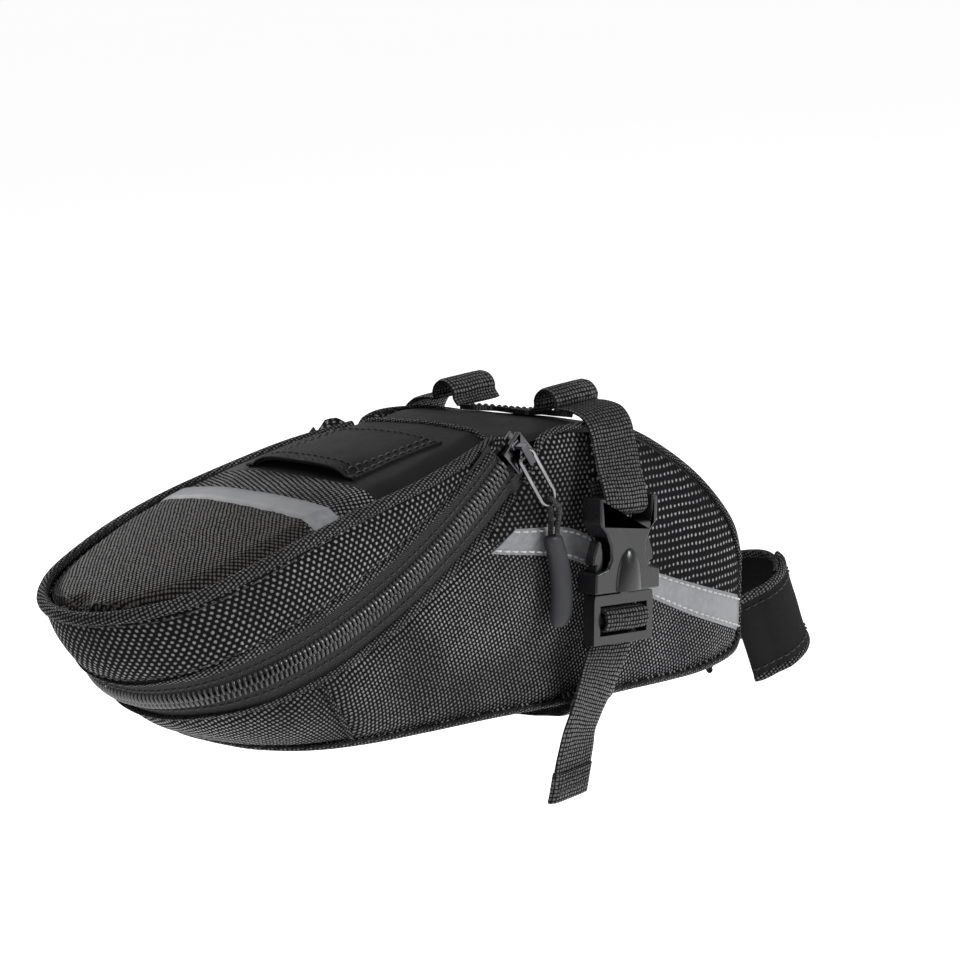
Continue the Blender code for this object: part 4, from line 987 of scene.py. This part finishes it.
def make_pull():
    put(refined("zip_slider", "zipper_slider", M["metal"], 0.38), "slider", "gunmetal", "zipper_slider")
    at = Vector(zipper_arc(ZIP_TOP)) + Vector((0.0, -BAIL_OUT, 0.0))
    place = side_frame(at, -BAIL_WAY)
    half = 2.8
    ring = [(half * math.cos(a), half * 0.45 * (math.sin(a) - 1.0), 0.0) for a in np.linspace(0, math.pi, 20)]
    ring += [(half * math.cos(a), -BAIL_LENGTH + half * 1.2 * (1 + math.sin(a)), 0.0)
             for a in np.linspace(math.pi, 2 * math.pi, 20)]
    line = np.array([place @ Vector(p) for p in ring])
    closed = np.vstack([line, line[:1]])
    line = spaced(closed, 91)[:-1]
    along = unit(np.roll(line, -1, axis=0) - np.roll(line, 1, axis=0))
    side = np.cross(along, (0.0, -1.0, 0.0))
    verts = []
    for p, s in zip(line, side):
        verts += [p + 0.62 * (math.cos(a) * s + math.sin(a) * np.array([0.0, -1.0, 0.0])) for a in
                  np.linspace(0, 2 * math.pi, 12, endpoint=False)]
    rings = [verts[i:i + 12] for i in range(0, len(verts), 12)]
    put(finish_mesh("bail", verts, rings_data(rings, True), None, [M["wire"]]), "bail", "gunmetal",
        "pull_bail")
    foot = at + BAIL_WAY * BAIL_LENGTH
    reach = 1.9
    way = np.array(BAIL_WAY)
    loop = [np.array(foot) + np.array([0.0, -reach * math.cos(a), 0.0]) - reach * math.sin(a) * way
            for a in np.linspace(0, math.pi, 13)]
    bend = 2.5 * way
    down = bend + np.array([-1.4, 0.0, -7.6])
    path = [loop[0] + down, loop[0] + bend, *loop, loop[-1] + bend, loop[-1] + down]
    path = spaced(smooth(path, steps=8), 70)
    path[:, 1] += 0.55 * np.sign(foot.y - path[:, 1]) * ease((foot.z - 2.0 - path[:, 2]) / 5.0)
    put(tube("pull_cord_loop", path, 0.8, 0.8, (1.0, 0.0, 0.001), M["cord"], 10), "pull", "cord", "pull_cord")
    top = foot.z - 9.4
    rings = []
    for s in [0.0, 0.01, 0.03, 0.07, *np.linspace(0.12, 0.84, 16), 0.88, 0.92, 0.95, 0.975, 0.99, 1.0]:
        x = foot.x - 0.7 + 2.0 * math.sin(math.pi * s)
        lead = math.sqrt(max(0.0, 1 - max(0.0, (0.07 - s) / 0.07) ** 2)) * 0.3 + 0.7
        tail = math.sqrt(max(0.0, 1 - max(0.0, (s - 0.86) / 0.14) ** 2)) * 0.85 + 0.15
        wide = (3.1 + 0.9 * s) * lead * tail
        deep = 2.1 * lead * tail
        rings.append([(x + wide * math.copysign(abs(math.cos(a)) ** 0.8, math.cos(a)),
                       foot.y + deep * math.copysign(abs(math.sin(a)) ** 0.8, math.sin(a)), top - 27.2 * s)
                      for a in np.linspace(0, 2 * math.pi, 24, endpoint=False)])
    put(finish_mesh("grip", [p for ring in rings for p in ring], rings_data(rings), None, [M["rubber"]]),
        "pull",
        "grip_rubber", "pull_grip")


# ------------------------------------------------------------------ straps and buckles
def sideways_of(turn):
    """The way a strap's width lies, from its (lean, twist)."""
    lean, twist = turn
    return np.array([math.cos(lean) * math.cos(twist), math.sin(twist), -math.sin(lean) * math.cos(twist)])


def webbing(name, path, leans, body, width=STRAP_WIDTH, thick=WEBBING, replaced=(), twists=None):
    twists = np.zeros(len(path)) if twists is None else np.asarray(twists, float)
    path = smooth(np.column_stack([np.array(path, float), np.asarray(leans, float), twists]), steps=5)
    line, turns = path[:, :3], path[:, 3:]
    along = np.gradient(line, axis=0)
    u = np.linspace(-1.0, 1.0, 15)
    high = thick / 2 * (1 - 0.75 * np.abs(u) ** 7) + 0.10 * np.exp(-((np.abs(u) - 0.86) / 0.06) ** 2)
    ring_u = np.concatenate([u, u[::-1]])
    ring_h = np.concatenate([high, -high])
    run = lengths(line)
    verts, uvs = [], []
    for p, way, turn, s in zip(line, along, turns, run):
        sideways = sideways_of(turn)
        n = unit(np.cross(way, sideways))
        sway = 0.18 * noise.noise(Vector((s / 7.0, 2.3, len(name))))
        for a, h in zip(ring_u, ring_h):
            verts.append(p + (a * width / 2 + sway) * sideways + (h + 0.12 * noise.noise(Vector((s / 5, a,
                                                                                                 1)))) * n)
            uvs.append((s, a * width / 2))
    size = len(ring_u)
    rings = [verts[i:i + size] for i in range(0, len(verts), size)]
    item = finish_mesh(name, verts, rings_data(rings), uvs, [M["webbing"]])
    return put(item, body, "webbing", *replaced), line, along, turns


def buckle_x(z):
    return BUCKLE_AT.x + (z - BUCKLE_AT.z) * math.tan(BUCKLE_LEAN)


def beside_buckle(y, v):
    z = BUCKLE_AT.z + v * math.cos(BUCKLE_LEAN)
    return (buckle_x(z), y, z)


def cross_stitch(name, line, along, turns, index, lift, body, width=15.0):
    """A bar of stitches across webbing at one point of its line."""
    p, way = line[index], along[index]
    sideways = sideways_of(turns[index])
    n = unit(np.cross(way, sideways))
    row = np.array([p + lift * n + k * sideways for k in np.linspace(-width / 2, width / 2, 12)])
    return put(stitches(name, row, np.sign(lift) * n, M["thread"], 2.4, 1.8, 0.24), body, "webbing")


def make_tail(side, sign, count):
    """The free end of the webbing, with its end folded and sewn. The left one is a little shorter."""
    body = f"{side}_tail"
    points = [beside_buckle(sign * WEB_MIDDLE, TAIL_HINGE - GAP)]
    points += [(x, -sign * y, z) for x, y, z in TAIL_POINTS[:count]]
    last = np.array(points[-1])
    way = unit(last - np.array(points[-2]))
    points += [tuple(last + way * 4.5), tuple(last + way * 8.7)]
    leans = TAIL_LEANS[:count + 1]
    twists = [-sign * twist for twist in TAIL_TWISTS[:count + 1]]
    webbing(f"tail_strap_{side}", points, leans + leans[-1:] * 2, body, replaced=[f"{side}_strap_tail"],
            twists=twists + twists[-1:] * 2)
    fold = [last + way * s for s in (0.8, 3.5, 6.5, 9.2)]
    _, line, along, turns = webbing(f"tail_fold_{side}", fold, leans[-1:] * 4, body, width=18.4, thick=3.2,
                                    replaced=[f"{side}_tail_end"], twists=twists[-1:] * 4)
    for mark, index in (("a", 4), ("b", 9)):
        for face, lift in (("out", 1.75), ("in", -1.75)):
            cross_stitch(f"fold_stitch_{mark}_{face}_{side}", line, along, turns, index, lift, body)


def make_straps():
    turn = 4.6
    path = [(-15.6, -2.6)]
    path += [(-RAIL_Y + turn * math.cos(a), turn * math.sin(a)) for a in np.radians(np.linspace(-8, 192, 10))]
    path += [(-31.5, -1.2), (-36.4, -2.4), (-40.0, -6.2), (-42.2, -12.0), (-44.6, -18.0), (-47.6, -23.5)]
    points, leans = [], []
    for y, z in path:
        share = min(1.0, max(0.0, -z / 22.0))
        points.append((STRAP_X + share * (buckle_x(z) - STRAP_X), y, z))
        leans.append(share * BUCKLE_LEAN)
    bar = [(BUCKLE_AT.y + 2.6 * math.cos(a), 18.7 + 2.9 * math.sin(a)) for a in np.linspace(math.pi,
                                                                                            2 * math.pi, 7)]
    bar += [(-43.2, 21.3), (-41.6, 25.1)]
    points += [beside_buckle(y, v) for y, v in bar]
    leans += [BUCKLE_LEAN] * len(bar)
    strap = webbing("upper_strap_right", points, leans, "bag", replaced=["right_upper_webbing"])[0]
    mirror_piece(strap, "upper_strap_left", "bag", "webbing", "left_upper_webbing")

    wrap = [(-41.2, -23.4), (-41.2, -18.0), (-41.2, -14.2), (-41.7, -12.7), (-43.2, -12.1), (-47.6, -12.1),
            (-49.1, -12.7), (-49.6, -14.2), (-49.6, -15.6), (-49.1, -17.1), (-47.6, -17.7), (-44.6, -17.7),
            (-43.4, -18.3), (-42.95, -19.6), (-42.95, -22.3)]
    strap = webbing("ladder_strap_right", [beside_buckle(y, v) for y, v in wrap], [BUCKLE_LEAN] * len(wrap),
                    "right_male", replaced=["right_ladder_webbing"])[0]
    mirror_piece(strap, "ladder_strap_left", "left_male", "webbing", "left_ladder_webbing")

    make_tail("right", -1, len(TAIL_POINTS))
    make_tail("left", 1, len(TAIL_POINTS) - 1)

    half = [(36.9, -82.8), (36.2, -85.6), (34.6, -88.2), (31.5, -90.0), (26.0, -91.0), (14.0, -92.4), (0.0,
                                                                                                       -93.0)]
    ring = [(-y, z) for y, z in half] + [(y, z) for y, z in half[-2::-1]]
    x = buckle_x(half[0][1])
    webbing("belly_webbing", [(x, y, z) for y, z in ring], [0.0] * len(ring), "bag", replaced=["belly_strap"])

    skin = Skin(SKINS["top"])
    across = np.linspace(-14.9, 14.9, 24)
    grid = []
    for u in np.linspace(-0.5, 0.5, 15):
        line = np.stack([np.full(24, STRAP_X + u * STRAP_WIDTH), across, 0 * across], axis=1)
        landed, ups = skin.drop(line, (0, 0, -1))
        grid.append(landed + 1.9 * ups)
    grid = np.array(grid)
    anchor = sheet_mesh("anchor_webbing", grid, flat_uv(grid, 0, 1), WEBBING, (0, 0, 1), [M["webbing"]])
    put(anchor, "bag", "webbing", "strap_anchor")
    for name, line in (("front", grid[-3]), ("rear", grid[2]), ("right", grid[2:-2, 1]), ("left", grid[2:-2,
                                                                                                       -2])):
        put(stitches(f"anchor_stitch_{name}", line, (0, 0, 1), M["thread"], 2.8, 2.1, 0.25), "bag", "webbing")


def make_buckles():
    place = side_frame(BUCKLE_AT, (math.sin(BUCKLE_LEAN), 0.0, math.cos(BUCKLE_LEAN)))
    female = refined("buckle_socket_right", "right_buckle_female", M["acetal"], 0.75)
    put(female, "bag", "buckle_plastic", "right_buckle_female")
    mirror_piece(female, "buckle_socket_left", "bag", "buckle_plastic", "left_buckle_female")
    rings = []
    for s in np.linspace(0.0, 1.0, 18):
        grow = math.sqrt(1 - (1 - s) ** 2.2) if s < 1 else 1.0
        v = 6.2 - 12.6 * s
        wide, high = 0.3 + 4.9 * grow ** 1.2, 0.1 + 2.5 * grow
        rings.append([tuple(place @ Vector((wide * math.cos(a), v, 3.6 + high * max(0.0, math.sin(a))
                                            + 0.4 * min(0.0, math.sin(a))))) for a in
                      np.linspace(0, 2 * math.pi, 28, endpoint=False)])
    rib = finish_mesh("buckle_rib_right", [p for ring in rings for p in ring], rings_data(rings), None,
                      [M["acetal"]])
    put(rib, "bag", "buckle_plastic")
    mirror_piece(rib, "buckle_rib_left", "bag", "buckle_plastic")
    male = refined("buckle_frame_right", "right_buckle_male", M["acetal"], 0.7)
    put(male, "right_male", "buckle_plastic", "right_buckle_male")
    mirror_piece(male, "buckle_frame_left", "left_male", "buckle_plastic", "left_buckle_male")
    for end in ("front", "rear"):
        prong = refined(f"buckle_{end}_prong_right", f"right_{end}_prong", M["acetal"], 0.6)
        put(prong, "right_male", "buckle_plastic", f"right_{end}_prong")
        mirror_piece(prong, f"buckle_{end}_prong_left", "left_male", "buckle_plastic", f"left_{end}_prong")


# ------------------------------------------------------------------ seat-post strap
def post_frame():
    up = Vector((-math.sin(POST_LEAN), 0.0, math.cos(POST_LEAN)))
    right_hand = Vector((0.0, -1.0, 0.0))
    return Matrix.Translation(POST_POINT) @ Matrix((right_hand, up,
                                                    right_hand.cross(up))).transposed().to_4x4()


def post_radius(angle):
    return POST_INNER + STAND_OFF * float(ease((abs(angle) - STAND_OFF_AT) / (POST_ROOT - STAND_OFF_AT)))


def post_band(name, first, last, lift, body, replaced, seed):
    """A band round the post between two angles, with bound and stitched edges."""
    place = post_frame()
    rows = []
    for angle in np.linspace(first, last, 90):
        a = math.radians(angle)
        row = []
        for v in np.linspace(STRAP_LOW, STRAP_HIGH, 26):
            r = post_radius(angle) + lift(angle) + 1.5
            r += 0.35 * noise.noise(Vector((angle / 30.0, v / 9.0, seed)))
            row.append(np.array(place @ Vector((r * math.sin(a), v, -r * math.cos(a)))))
        rows.append(row)
    grid = np.array(rows)
    axis = np.array(place.translation)
    up = np.array(place.to_3x3() @ Vector((0, 1, 0)))
    rel = grid - axis
    out = rel - (rel @ up)[..., None] * up
    band = sheet_mesh(name, grid, arc_uv(grid), WEBBING, out, [M["hook"]])
    put(band, body, "hook_and_loop", replaced)
    out = unit(out)
    for mark, column in (("top", -1), ("foot", 0)):
        line = grid[:, column] - 0.7 * out[:, column]
        put(tube(f"{name}_{mark}_binding", line, 1.5, 1.15, out[:, column], M["binding"], 10), body,
            "binding")
    line = grid[-1] - 0.7 * out[-1]
    put(tube(f"{name}_end_binding", line, 1.5, 1.15, out[-1], M["binding"], 10), body, "binding")
    for mark, column in (("top", -4), ("foot", 3)):
        line = grid[1:-1, column]
        put(stitches(f"{name}_{mark}_stitch", line, out[1:-1, column], M["thread"], 2.8, 2.1, 0.22), body,
            "binding")


def make_post_strap():
    post_band("strap_inner", -POST_ROOT, STRAP_END, lambda angle: 0.0, "bag", "post_strap", 3.0)

    def over(angle):
        return FLAP_STEP * min(1.0, max(0.0, (POST_ROOT - angle) / FLAP_RAMP))

    post_band("strap_flap", POST_ROOT, FLAP_END, over, "post_flap", "post_strap_flap", 5.0)
    pad = refined("post_pad_cloth", "post_pad", M["pad"], 1.2)
    put(pad, "bag", "pad", "post_pad")


def make_insides():
    """The lining, base board and lid board, seen when the lid is open."""
    for name, node, body in (("lining_body", "body_lining", "bag"), ("lining_lid", "lid_lining", "lid")):
        item = refined(name, node, M["lining"], 0.0, 1)
        uvs = item.data.uv_layers.get("weave") or item.data.uv_layers.new(name="weave")
        for loop in item.data.loops:
            p = item.data.vertices[loop.vertex_index].co / MM
            uvs.data[loop.index].uv = (p.x + 0.5 * p.y, p.z + 0.5 * p.y)
        put(item, body, "lining", node)
    for name, node, body in (("board_base", "base_board", "bag"), ("board_lid", "lid_stiffener", "lid")):
        put(refined(name, node, M["board"], 0.3), body, "board", node)


# ------------------------------------------------------------------ room, light and camera
def make_room():
    lo, hi = cad_bounds
    floor_mesh = bpy.data.meshes.new("floor")
    size, level = 30.0, lo.z - 0.16
    floor_mesh.from_pydata([(-size, -size, level), (size, -size, level), (size, size, level), (-size, size,
                                                                                               level)], [],
                           [(0, 1, 2, 3)])
    floor = bpy.data.objects.new("floor", floor_mesh)
    bpy.context.scene.collection.objects.link(floor)
    made = Nodes("floor_paint", (0.93, 0.93, 0.93), 0.9, specular=0.1)
    made.shader.inputs["Emission Color"].default_value = (1.0, 1.0, 1.0, 1.0)
    made.shader.inputs["Emission Strength"].default_value = 0.72
    place = made.solid_point()
    made.colour(made.mix(made.noise(place, 2.0, 2.0), (0.92, 0.92, 0.92), (0.95, 0.95, 0.95)))
    floor_mesh.materials.append(made.material)
    world = bpy.data.worlds.new("studio")
    bpy.context.scene.world = world
    world.use_nodes = True
    ground = world.node_tree.nodes["Background"]
    ground.inputs[0].default_value = (1.0, 1.0, 1.0, 1.0)
    ground.inputs[1].default_value = 0.27
    bpy.context.scene.view_settings.view_transform = "Standard"
    middle = (lo + hi) / 2

    def area(name, place, size, power):
        lamp = bpy.data.lights.new(name, "AREA")
        lamp.shape = "DISK"
        lamp.size = size
        lamp.energy = power
        item = bpy.data.objects.new(name, lamp)
        item.location = middle + Vector(place)
        item.rotation_euler = (middle - item.location).to_track_quat("-Z", "Y").to_euler()
        bpy.context.scene.collection.objects.link(item)

    area("overhead", (-0.25, 0.15, 1.5), 1.2, 8.0)
    area("key", (0.75, -1.2, 0.7), 0.6, 18.0)
    area("fill", (-1.3, -0.3, 0.5), 1.0, 4.0)
    area("back", (0.3, 1.4, 0.8), 0.9, 7.0)


def make_camera():
    camera = bpy.data.cameras.new("camera")
    camera.sensor_width = 36.0
    camera.lens = 108.169
    item = bpy.data.objects.new("camera", camera)
    turn = Matrix(((0.71672, 0.19919, -0.66831), (-0.69211, 0.08581, -0.71667), (-0.08541, 0.9762, 0.19937)))
    item.matrix_world = Matrix.Translation((-0.59685, -0.61959, 0.1497)) @ turn.to_4x4()
    bpy.context.scene.collection.objects.link(item)
    bpy.context.scene.camera = item


make_camera()
make_room()
body_wall = Wall(BODY_PANEL_AT)
make_body(body_wall)
make_body_seams(body_wall)
make_lid()
make_reflectors()
make_light_loop()
make_top_stitching()
make_zipper()
make_pull()
make_straps()
make_buckles()
make_post_strap()
make_insides()
